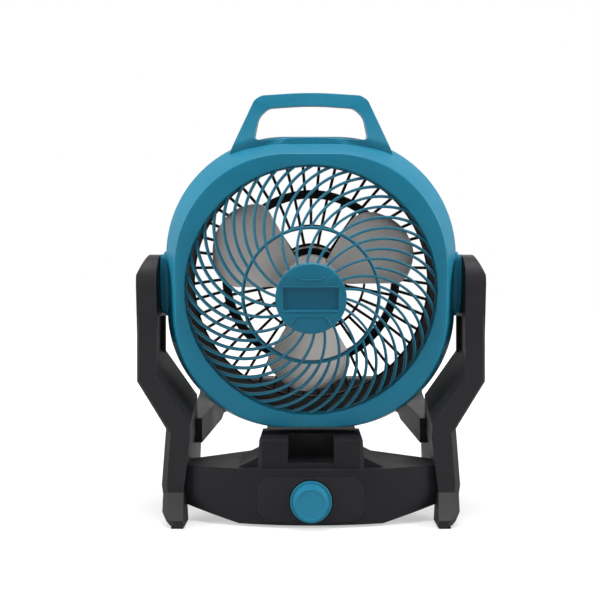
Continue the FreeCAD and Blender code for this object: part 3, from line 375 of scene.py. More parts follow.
def buildHandlingMarks():
    # soft shiny patches where hands rub, and a few hairline scuffs
    e = markEffect
    inputs = [("Patch Size", 45.0), ("Scuff Size", 14.0)]
    group, given, result = newGroup("handlingMarks", inputs, ["Rub", "Scuff"])
    place = addNode(group, "ShaderNodeTexCoord").outputs["Object"]
    rub = noise(group, place, perSize(group, given["Patch Size"]), e["rubDetail"], e["rubRoughness"])
    drawn = addNode(group, "ShaderNodeMapping",
                    {"Vector": place, "Scale": e["stretch"], "Rotation": e["turn"]}).outputs[0]
    scuff = noise(group, drawn, perSize(group, given["Scuff Size"]), e["scuffDetail"], e["scuffRoughness"])
    group.links.new(spread(group, rub, e["rubFrom"], e["rubTo"]), result["Rub"])
    group.links.new(spread(group, scuff, e["scuffFrom"], e["scuffTo"]), result["Scuff"])
    return group


mouldedGrain = buildMouldedGrain()
edgeWear = buildEdgeWear()
settledDust = buildSettledDust()
handlingMarks = buildHandlingMarks()


def startMaterial(name):
    material = bpy.data.materials.new(name)
    material.use_nodes = True
    tree = material.node_tree
    return material, tree, tree.nodes["Principled BSDF"]


plasticEffect = {"waveFrom": 0.3, "waveTo": 0.7, "fleckFrom": 0.35, "fleckTo": 0.75, "dustPatch": 3,
                 "rubPatch": 5, "scuffPatch": 2, "dustRough": 0.35}


def plasticMaterial(name, finish):
    # satin or semi gloss moulded plastic; the patches of each effect are multiples of one size
    e = plasticEffect
    material, tree, shader = startMaterial(name)
    patch = finish["patch"]
    grain = placeGroup(tree, mouldedGrain, Grain_Size=finish["grain"], Grain_Share=finish["grainShare"],
                       Wave_Size=finish["wave"], Wave_Share=finish["waveShare"])
    wear = placeGroup(tree, edgeWear, Edge_Width=finish["edge"], Amount=finish["wear"], Patch_Size=patch)
    dust = placeGroup(tree, settledDust, Amount=finish["dust"], Patch_Size=patch * e["dustPatch"])
    marks = placeGroup(tree, handlingMarks, Patch_Size=patch * e["rubPatch"],
                       Scuff_Size=patch * e["scuffPatch"])
    deep = tuple(level * finish["mottle"] for level in finish["colour"][:3]) + (1,)
    base = mixColour(tree, spread(tree, grain["Wave"], e["waveFrom"], e["waveTo"]), deep, finish["colour"])
    flecks = times(tree, spread(tree, grain["Grain"], e["fleckFrom"], e["fleckTo"]), finish["fleck"])
    flecked = mixColour(tree, flecks, base, finish["pale"])
    worn = mixColour(tree, wear["Mask"], flecked, finish["pale"])
    scuffed = mixColour(tree, times(tree, marks["Scuff"], finish["scuff"]), worn, finish["pale"])
    dusty = mixColour(tree, dust["Mask"], scuffed, finish["dustColour"])
    tree.links.new(dusty, shader.inputs["Base Color"])
    rubbed = spread(tree, marks["Rub"], 0.0, 1.0, finish["rough"], finish["rough"] - finish["polish"])
    drier = mathNode(tree, "ADD", rubbed, times(tree, dust["Mask"], e["dustRough"]))
    grainy = mathNode(tree, "ADD", drier, times(tree, grain["Grain"], finish["roughGrain"]), True)
    tree.links.new(grainy, shader.inputs["Roughness"])
    depth = finish["depth"] * millimetre
    bump = addNode(tree, "ShaderNodeBump", {"Height": grain["Height"], "Distance": depth,
                                            "Strength": finish["bump"]})
    tree.links.new(bump.outputs["Normal"], shader.inputs["Normal"])
    shader.inputs["IOR"].default_value = finish["ior"]
    shader.inputs["Specular IOR Level"].default_value = finish["specular"]
    return material


metalEffect = {"lineDetail": 4.0, "lineFrom": 0.25, "lineTo": 0.75, "smoother": 0.08, "rougher": 0.12,
               "edge": 0.4, "wear": 0.8, "patch": 4.0, "blotchScale": 120.0, "blotchDetail": 5.0,
               "blotchFrom": 0.35, "blotchTo": 0.7, "depth": 0.02, "bump": 0.5}


def metalMaterial(name, finish):
    # drawn or turned metal with dull blotches and bright edges
    e = metalEffect
    material, tree, shader = startMaterial(name)
    place = addNode(tree, "ShaderNodeTexCoord").outputs["Object"]
    drawn = addNode(tree, "ShaderNodeMapping", {"Vector": place, "Scale": finish["stretch"]}).outputs[0]
    lines = noise(tree, drawn, finish["lines"], e["lineDetail"])
    wear = placeGroup(tree, edgeWear, Edge_Width=e["edge"], Amount=e["wear"], Patch_Size=e["patch"])
    cloud = noise(tree, place, e["blotchScale"], e["blotchDetail"])
    blotches = spread(tree, cloud, e["blotchFrom"], e["blotchTo"])
    dull = mixColour(tree, blotches, finish["colour"], finish["dull"])
    bright = mixColour(tree, wear["Mask"], dull, finish["bright"])
    tree.links.new(bright, shader.inputs["Base Color"])
    rough = spread(tree, lines, e["lineFrom"], e["lineTo"], finish["rough"] - e["smoother"],
                   finish["rough"] + e["rougher"])
    tree.links.new(rough, shader.inputs["Roughness"])
    shader.inputs["Metallic"].default_value = 1.0
    bump = addNode(tree, "ShaderNodeBump", {"Height": lines, "Distance": e["depth"] * millimetre,
                                            "Strength": e["bump"]})
    tree.links.new(bump.outputs["Normal"], shader.inputs["Normal"])
    return material


def look(**changes):
    # the plain moulded plastic, with what differs
    base = {"colour": tint(60, 60, 62), "pale": tint(150, 150, 150), "dustColour": tint(150, 145, 136),
            "grain": 0.45, "grainShare": 0.5, "wave": 40.0, "waveShare": 0.6, "depth": 0.05, "bump": 0.6,
            "edge": 0.7, "wear": 0.25, "patch": 9.0, "dust": 0.05, "mottle": 0.93, "fleck": 0.05,
            "scuff": 0.06, "rough": 0.46, "polish": 0.08, "roughGrain": 0.08, "ior": 1.46, "specular": 0.3}
    return {**base, **changes}


plastics = {
    "shellTeal": look(colour=tint(20, 110, 137), pale=tint(80, 160, 182), rough=0.42, fleck=0.02),
    "guardTeal": look(colour=tint(15, 95, 119), pale=tint(96, 172, 190), rough=0.40, grain=0.35),
    # the hub plastic made darker for the sunk panel's floor: painted shade in the recess
    "hubPanelShadeTeal": look(colour=tint(6, 84, 110), pale=tint(80, 160, 180), rough=0.5, fleck=0.02),
    "hubTeal": look(colour=tint(14, 100, 126), pale=tint(80, 160, 180), rough=0.44),
    "knobTeal": look(colour=tint(26, 116, 144), pale=tint(120, 180, 200), rough=0.36, grain=0.3),
    "frameBlack": look(colour=tint(30, 29, 32), pale=tint(110, 110, 112), rough=0.52, fleck=0.02, grain=0.6),
    "baseBlack": look(colour=tint(31, 30, 33), pale=tint(110, 110, 112), rough=0.56, specular=0.16,
                      fleck=0.02, grain=0.6),
    "panelBlack": look(colour=tint(26, 25, 29), pale=tint(110, 110, 112), rough=0.55, fleck=0.02,
                       grain=0.4, depth=0.07),
    "grilleBlack": look(colour=tint(16, 16, 17), pale=tint(70, 70, 72), rough=0.55, specular=0.2,
                        fleck=0.02, grain=0.3, depth=0.03),
    "ductBlack": look(colour=tint(14, 15, 17), pale=tint(60, 62, 66), rough=0.7, specular=0.06, fleck=0.02),
    "bladeGrey": look(colour=tint(228, 221, 216), pale=tint(230, 228, 225), rough=0.38, grain=0.3, wear=0.1),
    "padRubber": look(colour=tint(30, 30, 30), pale=tint(80, 80, 78), rough=0.85, grain=0.8, depth=0.1),
    "innerPlastic": look(colour=tint(52, 54, 56), pale=tint(120, 120, 120), rough=0.5),
    "packPlastic": look(colour=tint(34, 34, 37), pale=tint(104, 104, 106), rough=0.5, grain=0.55, depth=0.07),
    "latchPlastic": look(colour=tint(30, 112, 134), pale=tint(110, 176, 192), rough=0.45),
    "boardResin": look(colour=tint(24, 84, 50), pale=tint(80, 150, 100), rough=0.3, grain=0.3),
    "cellSleeve": look(colour=tint(40, 90, 130), pale=tint(110, 150, 180), rough=0.35),
}
metals = {
    "zincSteel": {"colour": tint(196, 196, 198), "dull": tint(160, 160, 163), "bright": tint(225, 225, 226),
                  "rough": 0.32, "lines": 600.0, "stretch": (1, 1, 1)},
    "groundSteel": {"colour": tint(176, 177, 180), "dull": tint(140, 141, 144), "bright": tint(214, 214, 216),
                    "rough": 0.3, "lines": 300.0, "stretch": (6, 1, 6)},
    "brass": {"colour": tint(212, 176, 98), "dull": tint(176, 140, 76), "bright": tint(236, 206, 140),
              "rough": 0.28, "lines": 500.0, "stretch": (1, 4, 1)},
}
materials = {name: plasticMaterial(name, values) for name, values in plastics.items()}
for name, values in metals.items():
    materials[name] = metalMaterial(name, values)
print("stage: materials built")


# Head shell: bezel, tilt bosses and handle

shellSizes = {
    "face": (125, 127.3, 104, 34, -0.85), "rimFront": (138, 140.7, 114, 2, 1.6),
    "rimBack": (138, 140.7, 114, -6, 1.6), "tail": (128, 129.6, 106, -24, 0.5),
    "bore": 117.8, "lip": 116.5, "lipBack": 31, "lipRound": 0.9, "faceRound": 1.4, "rimRound": 2.0,
    "tailRound": 1.2, "count": 288,
}


def buildShell():
    s = shellSizes
    bore, lip = (s["bore"],) * 3, (s["lip"],) * 3
    tailHeight, faceHeight = s["tail"][3], s["face"][3]
    sections = [(*bore, tailHeight, 0), (*bore, s["lipBack"], 0), (*lip, s["lipBack"], 0),
                (*lip, faceHeight, 0), s["face"], s["rimFront"], s["rimBack"], s["tail"],
                (*bore, tailHeight, 0)]
    smooth = softened(sections, {3: s["lipRound"], 4: s["faceRound"], 5: s["rimRound"], 6: s["rimRound"],
                                 7: s["tailRound"]})
    starPiece("shell_bezel", smooth[:-1], "head", materials["shellTeal"], s["count"], closedRing=True,
              slot="shell_plastic", matrix=headMatrix, replaces=["front_shell"])


bossSizes = {"radius": 31, "stepRadius": 28.4, "root": 125, "step": 139.8, "reach": 143.1, "round": 0.9,
             "roundSteps": 5, "frontShare": 0.28, "count": 96}


def buildBosses():
    # flattened towards the front, so that the bevel runs past them unbroken
    s = bossSizes
    profile = [(0, s["root"]), (s["radius"], s["root"]), (s["radius"], s["step"]),
               (s["stepRadius"], s["step"]), (s["stepRadius"], s["reach"]), (0, s["reach"])]
    rings = roundedProfile(profile, s["round"], s["roundSteps"])
    for side, sign in (("right", 1), ("left", -1)):
        points, faces = [], []
        for radius, reach in rings:
            for step in range(s["count"]):
                angle = 2 * math.pi * step / s["count"]
                ahead = radius * math.cos(angle)
                height = ahead * (s["frontShare"] if ahead > 0 else 1)
                points.append((sign * reach, radius * math.sin(angle), height))
        for number in range(len(rings) - 1):
            loopFaces(faces, number * s["count"], (number + 1) * s["count"], s["count"])
        makePiece(f"shell_boss_{side}", points, faces, "head", materials["shellTeal"], slot="shell_plastic",
                  matrix=tiltMatrix)


handleSizes = {
    "outer": [(0, 120), (80.5, 113), (52.5, 171.5), (46, 176), (0, 179)], "outerRound": [0, 2, 2.5, 3, 40],
    "inner": [(0, 138.5), (44, 135.2), (52.6, 136.0), (48.4, 156), (39.5, 164.3), (0, 167)],
    "innerRound": [40, 3, 5, 5, 4, 40], "roundSteps": 6,
    "middle": (0, 152), "back": -8, "backLean": 0.05, "front": 17.6, "frontLean": 0.3, "leanStart": 131,
    "sideStart": 52, "sideFall": 0.34, "edge": 3.0, "edgeSegments": 4, "edgeAbove": 50, "edgeShape": 0.45,
    "count": 420,
}


def mirroredLoop(half, rounding):
    # the given half runs up the right side, from the middle line to the middle line
    whole = half + [(-x, y) for x, y in reversed(half[1:-1])]
    sizes = rounding + rounding[-2:0:-1]
    return roundedPath(whole, sizes, handleSizes["roundSteps"])


def rayReach(loop, middle, angle):
    # where a ray from the middle leaves a closed outline
    along = Vector((math.cos(angle), math.sin(angle)))
    best = 0
    for number, corner in enumerate(loop):
        start = corner - middle
        gap = loop[(number + 1) % len(loop)] - corner
        turn = along.cross(gap)
        if abs(turn) > 1e-9 and -1e-6 <= start.cross(along) / turn <= 1 + 1e-6:
            best = max(best, start.cross(gap) / turn)
    return middle + along * best


def buildHandle():
    # a ring between two outlines; its front leans back towards the top and falls off to the sides
    s = handleSizes
    middle = Vector(s["middle"])
    outer = mirroredLoop(s["outer"], s["outerRound"])
    inner = mirroredLoop(s["inner"], s["innerRound"])
    points, faces = [], []
    for loop, height, lean in ((outer, "front", "frontLean"), (outer, "back", "backLean"),
                               (inner, "back", "backLean"), (inner, "front", "frontLean")):
        for step in range(s["count"]):
            spot = rayReach(loop, middle, 2 * math.pi * (step + 0.5) / s["count"])
            fall = s["sideFall"] * max(0, abs(spot.x) - s["sideStart"]) if height == "front" else 0
            points.append((spot.x, spot.y, s[height] - s[lean] * max(0, spot.y - s["leanStart"]) - fall))
    for number in range(4):
        loopFaces(faces, number * s["count"], (number + 1) % 4 * s["count"], s["count"])
    handle = makePiece("carry_handle", points, faces, "head", materials["shellTeal"], slot="shell_plastic",
                       matrix=tiltMatrix)
    roundedEdges(handle, s["edge"], s["edgeSegments"], s["edgeAbove"], s["edgeShape"])


buildShell()
buildBosses()
buildHandle()
print("stage: head shell")


# Front guard: spiral ribs on a dome

guardSizes = {
    "rimRadius": 117.2, "rimWide": 1.4, "rimTop": 30, "rimSteps": 192, "ringRadius": 62, "ringTop": 50.5,
    "ringWide": 2.6, "ringProud": 0.4, "ringSteps": 144, "hubRadius": 31.6, "hubTop": 59.5, "thick": 4,
    "ribHoop": 66.5, "ribTurn": 3.3, "ribWide": 2.4, "ribCount": 22, "ribSteps": 24, "hubGrip": 1.2,
    "rimGrip": 0.7, "nudge": 0.5,
}


def domeCircle():
    # middle and radius of the arc through the dome's rim, ring and hub
    s = guardSizes
    ax, ay = s["rimRadius"], s["rimTop"]
    bx, by = s["ringRadius"], s["ringTop"]
    cx, cy = s["hubRadius"], s["hubTop"]
    d = 2 * (ax * (by - cy) + bx * (cy - ay) + cx * (ay - by))
    a, b, c = ax ** 2 + ay ** 2, bx ** 2 + by ** 2, cx ** 2 + cy ** 2
    middle = ((a * (by - cy) + b * (cy - ay) + c * (ay - by)) / d,
              (a * (cx - bx) + b * (ax - cx) + c * (bx - ax)) / d)
    return middle, math.hypot(ax - middle[0], ay - middle[1])


domeMiddle, domeRadius = domeCircle()


def domeSpot(radius, angle):
    # place and outward direction on the dome
    rise = math.sqrt(domeRadius ** 2 - (radius - domeMiddle[0]) ** 2)
    outward = (radius - domeMiddle[0]) / domeRadius
    around = Vector((math.cos(angle), math.sin(angle), 0))
    place = around * radius + Vector((0, 0, domeMiddle[1] + rise))
    return place, around * outward + Vector((0, 0, rise / domeRadius))


def ribPath(inner, outer, turn):
    # seen from the front a rib is part of a circle through the middle of the guard
    s = guardSizes
    path = []
    for step in range(s["ribSteps"] + 1):
        radius = mix(inner, outer, step / s["ribSteps"])
        spots = [domeSpot(reach, math.acos(reach / (2 * s["ribHoop"])) + turn)
                 for reach in (radius - s["nudge"], radius, radius + s["nudge"])]
        along = (spots[2][0] - spots[0][0]).normalized()
        place, up = spots[1]
        path.append((place, along.cross(up).normalized(), up))
    return path


def ringPath(radius, steps):
    path = []
    for step in range(steps):
        place, up = domeSpot(radius, 2 * math.pi * step / steps)
        around = Vector((0, 0, 1)).cross(place).normalized()
        path.append((place, around.cross(up).normalized(), up))
    return path


def buildGuard():
    # one rib from the hub and one from the ring by turns
    s = guardSizes
    points, faces = [], []
    rib = roundedBar(s["ribWide"], s["thick"])
    outer = s["rimRadius"] - s["rimGrip"]
    half = math.pi / s["ribCount"]
    for number in range(s["ribCount"]):
        turn = 2 * math.pi * number / s["ribCount"] + math.radians(s["ribTurn"])
        sweptTube(points, faces, ribPath(s["hubRadius"] - s["hubGrip"], outer, turn), rib)
        sweptTube(points, faces, ribPath(s["ringRadius"], outer, turn + half), rib)
    ring = roundedBar(s["ringWide"], s["thick"] + s["ringProud"])
    sweptTube(points, faces, ringPath(s["ringRadius"], s["ringSteps"]), ring, True)
    rim = roundedBar(s["rimWide"], s["thick"])
    sweptTube(points, faces, ringPath(s["rimRadius"] - s["rimWide"] / 2, s["rimSteps"]), rim, True)
    makePiece("front_guard", points, faces, "head", materials["guardTeal"], slot="shell_plastic",
              matrix=headMatrix, replaces=["front_grille"], sharp=60)


capSizes = {
    "radius": 31.6, "seat": 56, "top": 66.5, "round": 2.6, "count": 240,
    "panelHalf": (25, 10), "panelDeep": 1.8, "panelCorner": 1.6, "panelDraft": 0.3, "panelRound": 0.35,
    "lineHalf": 24.5, "lineAway": 11.0, "lineWide": 1.0, "lineOut": 0.6,
    "upper": (13, 16.8, 3.2), "lower": (17.4, -15.2, -7.4), "slope": 4.5, "ridgeWide": 1.7, "ridgeOut": 0.8,
    "bendRound": 2.0, "bendSteps": 5, "sunk": 0.8, "ridgeSteps": 14, "ridgePower": 2.6, "floorWithin": 0.05,
}


def buildCap():
    # a round cover with a bare sunk panel, whose floor gets a darker copy of the hub plastic as painted shade
    # in the recess
    s = capSizes
    halfX, halfY = s["panelHalf"]
    floor = s["top"] - s["panelDeep"]
    draft = s["panelDraft"]
    sections = [circle(s["radius"], s["seat"]), circle(s["radius"], s["top"]),
                (halfX, halfY, s["panelCorner"], s["top"]),
                (halfX - draft, halfY - draft, s["panelCorner"], floor), circle(0.01, floor)]
    smooth = softened(sections, {1: s["round"], 2: s["panelRound"], 3: s["panelRound"]})
    cap = starPiece("hub_cap", smooth, "head", materials["hubTeal"], s["count"], slot="shell_plastic",
                    matrix=headMatrix, replaces=["grille_cap"])
    # the panel floor's faces take the darker copy of the hub plastic, which is painted shade
    cap.data.materials.append(materials["hubPanelShadeTeal"])
    toHead = headMatrix.inverted()
    for polygon in cap.data.polygons:
        if abs((toHead @ polygon.center).z - floor) < s["floorWithin"]:
            polygon.material_index = 1


def capStrokes():
    # the two straight lines beside the panel and the two bent ridges: corners, width and height
    s = capSizes
    strokes = [([(-s["lineHalf"], away), (s["lineHalf"], away)], s["lineWide"], s["lineOut"])
               for away in (s["lineAway"], -s["lineAway"])]
    for half, near, tall in (s["upper"], s["lower"]):
        flat = half - s["slope"]
        corners = [(-half, near + tall), (-flat, near), (flat, near), (half, near + tall)]
        strokes.append((corners, s["ridgeWide"], s["ridgeOut"]))
    return strokes


def buildCapRidges():
    s = capSizes
    points, faces = [], []
    for corners, wide, out in capStrokes():
        line = roundedPath(corners, s["bendRound"], s["bendSteps"], closed=False)
        path = []
        for number, spot in enumerate(line):
            before, after = line[max(0, number - 1)], line[min(len(line) - 1, number + 1)]
            along = (after - before).normalized()
            place = Vector((spot.x, spot.y, s["top"] + out))
            path.append((place, Vector((along.y, -along.x, 0)), Vector((0, 0, 1))))
        sweptTube(points, faces, path, roundedBar(wide, out + s["sunk"], s["ridgeSteps"], s["ridgePower"]))
    makePiece("hub_ridges", points, faces, "head", materials["hubTeal"], slot="shell_plastic",
              matrix=headMatrix)


buildGuard()
buildCap()
buildCapRidges()
print("stage: front guard")


# Rear guard: sloping outer bars, a broad band, a thin ring and the motor's plate

rearSizes = {
    "back": -58, "mouth": 115, "shoulder": 90, "bend": [(2, 2.2), (0.7, 0.9), (-0.8, 0.2)],
    "barWide": 2.9, "barDeep": 4, "outerBars": 46, "middleBars": 32, "innerBars": 16, "innerShift": 0.5,
    "mouthGrip": 2, "bandGrip": (3, 2), "ringGrip": 1, "hubGrip": 1,
    "band": (82.5, 91.1, 5), "ring": (54, 56.2, 4), "hub": (9, 37, 3), "ringRound": 0.6, "ringCount": 160,
    "plateHalf": 127.6, "plateCorner": 105.6, "plateFront": -24, "plateBack": -26.6, "plateRound": (0.4, 0.8),
    "plateCount": 240,
}


def barPath(profile, angle):
    # radius and height pairs along one bar, with its outer side towards the back
    around = Vector((math.cos(angle), math.sin(angle), 0))
    side = Vector((0, 0, 1)).cross(around)
    spots = [around * radius + Vector((0, 0, height)) for radius, height in profile]
    path = []
    for number, spot in enumerate(spots):
        along = (spots[min(number + 1, len(spots) - 1)] - spots[max(number - 1, 0)]).normalized()
        path.append((spot, side, along.cross(side)))
    return path


def buildRearBars():
    s = rearSizes
    back = s["back"]
    bandIn, bandOut, _ = s["band"]
    ringIn, ringOut, _ = s["ring"]
    bandOuterGrip, bandInnerGrip = s["bandGrip"]
    slope = [(s["mouth"] + s["mouthGrip"], s["plateBack"])]
    slope += [(s["shoulder"] + out, back + up) for out, up in s["bend"]]
    slope += [(bandOut - bandOuterGrip, back)]
    middle = [(bandIn + bandInnerGrip, back), (ringOut - s["ringGrip"], back)]
    inner = [(ringIn + s["ringGrip"], back), (s["hub"][1] - s["hubGrip"], back)]
    points, faces = [], []
    section = roundedBar(s["barWide"], s["barDeep"])
    for count, profile, shift in ((s["outerBars"], slope, 0), (s["middleBars"], middle, 0),
                                  (s["innerBars"], inner, s["innerShift"])):
        for number in range(count):
            sweptTube(points, faces, barPath(profile, 2 * math.pi * (number + shift) / count), section)
    makePiece("rear_guard_bars", points, faces, "head", materials["grilleBlack"], slot="grille_plastic",
              matrix=headMatrix, replaces=["rear_grille"], sharp=60)


def flatRing(name, inner, outer, rounding, count):
    # a closed ring between an inner and an outer section, each given at both heights
    (innerFirst, innerLast), (outerFirst, outerLast) = inner, outer
    sections = [innerFirst, outerFirst, outerLast, innerLast, innerFirst]
    smooth = softened(sections, dict(zip((1, 2, 3), rounding)))
    starPiece(name, smooth[:-1], "head", materials["grilleBlack"], count, closedRing=True,
              slot="grille_plastic", matrix=headMatrix)


def buildRearRings():
    s = rearSizes
    for name in ("band", "ring", "hub"):
        inner, outer, thick = s[name]
        heights = (s["back"], s["back"] + thick)
        flatRing(f"rear_guard_{name}", [circle(inner, height) for height in heights],
                 [circle(outer, height) for height in heights], (s["ringRound"],) * 3, s["ringCount"])
    heights = (s["plateFront"], s["plateBack"])
    half, corner = s["plateHalf"], s["plateCorner"]
    little, more = s["plateRound"]
    flatRing("rear_guard_plate", [circle(s["mouth"], height) for height in heights],
             [(half, half, corner, height) for height in heights], (little, more, more), s["plateCount"])


buildRearBars()
buildRearRings()
print("stage: rear guard")


# Impeller

bladeSizes = {
    "count": 3, "middle": 30, "plane": -14, "root": 26.5, "tip": 105.3, "thick": 2.4, "thinShare": 0.45,
    "sidePower": 6, "tipPower": 10, "rootSwell": 1.25, "swellDrop": 0.35, "span": 30, "trailStart": 60,
    "trailTurn": 28, "trailPower": 3.4, "leadStart": 84, "leadTurn": 18, "leadPower": 2.2,
    "rootPitch": 0.62, "pitchDrop": 0.38, "bow": 0.07, "radial": 40, "across": 30, "crowding": 1.6,
    "edge": 0.5, "edgeSegments": 2, "edgeAbove": 55,
}
cupSizes = {"radius": 29, "wall": 2.4, "floor": 4, "front": 4, "back": -26, "round": 5, "lipRound": 0.6,
            "roundSteps": 6, "count": 96}


def bladePoint(radial, across, side):
    # shares of the way out and across the blade, and the face: 1 in front, -1 behind
    s = bladeSizes
    radius = mix(s["root"], s["tip"], radial)
    leadShare = max(0, (radius - s["leadStart"]) / (s["tip"] - s["leadStart"])) ** s["leadPower"]
    trailShare = max(0, (radius - s["trailStart"]) / (s["tip"] - s["trailStart"])) ** s["trailPower"]
    lead = -s["span"] + s["leadTurn"] * leadShare
    trail = s["span"] - s["trailTurn"] * trailShare
    angle = math.radians(mix(lead, trail, across))
    share = radius / s["tip"]
    height = (s["rootPitch"] - s["pitchDrop"] * share) * radius * math.sin(angle)
    chord = radius * math.radians(2 * s["span"])
    height += s["bow"] * chord * (1 - (2 * across - 1) ** 2)
    nearEdge = max(abs(2 * across - 1) ** s["sidePower"], radial ** s["tipPower"])
    edge = 1 - (1 - s["thinShare"]) * nearEdge
    height += side * s["thick"] / 2 * edge * (s["rootSwell"] - s["swellDrop"] * radial)
    return Vector((radius * math.cos(angle), radius * math.sin(angle), height + s["plane"]))


def addBlade(points, faces, turn):
    s = bladeSizes
    rows, columns = s["radial"] + 1, s["across"] + 1
    first = len(points)
    for side in (1, -1):
        for row in range(rows):
            radial = 1 - (1 - row / s["radial"]) ** s["crowding"]
            points += [turn @ bladePoint(radial, column / s["across"], side) for column in range(columns)]
    sheet = rows * columns
    for row in range(rows - 1):
        for column in range(columns - 1):
            corner = first + row * columns + column
            quad = (corner, corner + 1, corner + columns + 1, corner + columns)
            faces.append(quad)
            faces.append(tuple(sheet + index for index in reversed(quad)))
    rim = [row * columns for row in range(rows)]
    rim += [(rows - 1) * columns + column for column in range(1, columns)]
    rim += [row * columns + columns - 1 for row in range(rows - 2, -1, -1)]
    rim += list(range(columns - 2, 0, -1))
    for number, index in enumerate(rim):
        after = rim[(number + 1) % len(rim)]
        faces.append((first + index, first + after, first + sheet + after, first + sheet + index))


def buildImpeller():
    s = bladeSizes
    points, faces = [], []
    for blade in range(s["count"]):
        addBlade(points, faces, turnAbout("Z", s["middle"] + blade * 360 / s["count"]))
    blades = makePiece("fan_blades", points, faces, "fan_rotor", materials["bladeGrey"], slot="blade_plastic",
                       matrix=headMatrix, replaces=["impeller"], sharp=50)
    roundedEdges(blades, s["edge"], s["edgeSegments"], s["edgeAbove"])
    c = cupSizes
    inner, floor = c["radius"] - c["wall"], c["back"] + c["floor"]
    sections = [circle(0, floor), circle(inner, floor), circle(inner, c["back"]),
                circle(c["radius"], c["back"]), circle(c["radius"], c["front"]), circle(0, c["front"])]
    smooth = softened(sections, {2: c["lipRound"], 3: c["lipRound"], 4: c["round"]}, c["roundSteps"])
    turnedPiece("blade_hub", [(part[0], part[3]) for part in smooth], "fan_rotor", materials["bladeGrey"],
                c["count"], slot="blade_plastic", matrix=headMatrix)


buildImpeller()
print("stage: impeller")


# Speed knob

knobSizes = {"seat": (0, -89.0, 24.1), "radius": 19, "flange": 3.2, "groove": 0.4, "capRadius": 15.4,
             "capTop": 13.0, "draft": 0.5, "rimWide": 1.9, "dishSlope": 1.0, "dish": 0.5, "round": 0.8,
             "roundSteps": 5, "count": 128}


def buildKnob():
    s = knobSizes
    matrix = toMetres @ Matrix.Translation(s["seat"]) @ turnAbout("X", 90)
    top = s["capRadius"] - s["draft"]
    rim = top - s["rimWide"]
    dish = s["capTop"] - s["dish"]
    profile = [(0, 0), (s["radius"], 0), (s["radius"], s["flange"]),
               (s["capRadius"] + s["draft"], s["flange"] - s["groove"]), (top, s["capTop"]),
               (rim, s["capTop"]), (rim - s["dishSlope"], dish), (0, dish)]
    turnedPiece("knob_cap", roundedProfile(profile, s["round"], s["roundSteps"]), "knob",
                materials["knobTeal"], s["count"], slot="knob_plastic", matrix=matrix,
                replaces=["speed_knob"])


buildKnob()
print("stage: knob")


# CAD nodes that keep their own shape

nodeLooks = {
    "frameBlack": ["right_side_frame", "left_side_frame", "rear_bar", "right_pivot_cap", "left_pivot_cap"],
    "baseBlack": ["base_housing"],
    "ductBlack": ["duct_ring"],
    "panelBlack": ["control_panel", "base_bottom_cover"],
    "grilleBlack": ["motor_lid", "motor_can"],
    "padRubber": ["foot_pads"],
    "zincSteel": ["frame_screws", "right_pivot_bolt", "left_pivot_bolt", "rear_grille_screws", "motor_screws",
                  "impeller_nut", "knob_spindle"],
    "groundSteel": ["motor_bearings", "motor_stator", "motor_rotor", "motor_shaft"],
    "brass": ["terminal_blades"],
    "boardResin": ["control_board"],
    "innerPlastic": ["terminal_block", "speed_control"],
    "packPlastic": ["battery_case", "battery_cover"],
    "latchPlastic": ["battery_latch"],
    "cellSleeve": ["battery_cells"],
}
edgeWidths = {"right_side_frame": 1.8, "left_side_frame": 1.8, "rear_bar": 2.0, "base_housing": 1.2,
              "control_panel": 0.5, "battery_case": 1.4, "battery_cover": 1.0, "battery_latch": 0.6,
              "right_pivot_cap": 0.6, "left_pivot_cap": 0.6, "foot_pads": 0.4, "terminal_block": 0.5,
              "motor_lid": 0.6}
cleaning = {"weldWithin": 0.01, "flatBelow": 1}    # millimetres and degrees


def dressNodes():
    # moulded nodes get rounded edges once their triangles are joined into flat faces
    for materialName, names in nodeLooks.items():
        for name in names:
            node = nodes[name]
            node.data.materials.clear()
            node.data.materials.append(materials[materialName])
            if name in edgeWidths:
                weld = node.modifiers.new("weld", "WELD")
                weld.merge_threshold = cleaning["weldWithin"] * millimetre
                flat = node.modifiers.new("flatFaces", "DECIMATE")
                flat.decimate_type = "DISSOLVE"
                flat.angle_limit = math.radians(cleaning["flatBelow"])
                roundedEdges(node, edgeWidths[name])


dressNodes()
print("stage: CAD nodes dressed")


# Studio: floor, lights, camera

studio = {"background": 1.0, "ambientColour": (0.95, 0.98, 1.0, 1), "ambient": 0.25,
          "darkSide": -0.3, "paleSide": 0.5, "glossShare": 0.6,
          "floorSize": 12.0, "floorDark": (0.44, 0.44, 0.44, 1), "floorPale": (0.48, 0.48, 0.48, 1),
          "floorGrain": 260.0, "floorDetail": 4.0, "floorRough": 0.9, "floorSpecular": 0.1,
          "floorGlow": 0.5, "fadeStart": 0.25, "fadeEnd": 1.0,
          "cameraPlace": (0, -0.815, 0.217), "sensor": 36, "focal": 48.0, "shift": (-0.01833, -0.01833),
          "nearest": 0.05, "farthest": 50}


def seenShare(tree, place):
    # 1 for the camera; gloss sees the pale backdrop behind the fan and a dim room in front
    rays = addNode(tree, "ShaderNodeLightPath").outputs
    depth = addNode(tree, "ShaderNodeSeparateXYZ", {0: place}).outputs["Y"]
    behind = spread(tree, depth, studio["darkSide"], studio["paleSide"], 0.0, studio["glossShare"])
    return mathNode(tree, "MAXIMUM", rays["Is Camera Ray"], times(tree, rays["Is Glossy Ray"], behind))


def buildWorld():
    world = bpy.data.worlds.new("paleRoom")
    bpy.context.scene.world = world
    world.use_nodes = True
    tree = world.node_tree
    shown = tree.nodes["Background"]
    shown.inputs["Color"].default_value = (1, 1, 1, 1)
    shown.inputs["Strength"].default_value = studio["background"]
    lit = addNode(tree, "ShaderNodeBackground",
                  {"Color": studio["ambientColour"], "Strength": studio["ambient"]})
    towards = addNode(tree, "ShaderNodeTexCoord").outputs["Generated"]
    both = addNode(tree, "ShaderNodeMixShader", {0: seenShare(tree, towards)})
    tree.links.new(lit.outputs[0], both.inputs[1])
    tree.links.new(shown.outputs[0], both.inputs[2])
    tree.links.new(both.outputs[0], tree.nodes["World Output"].inputs["Surface"])


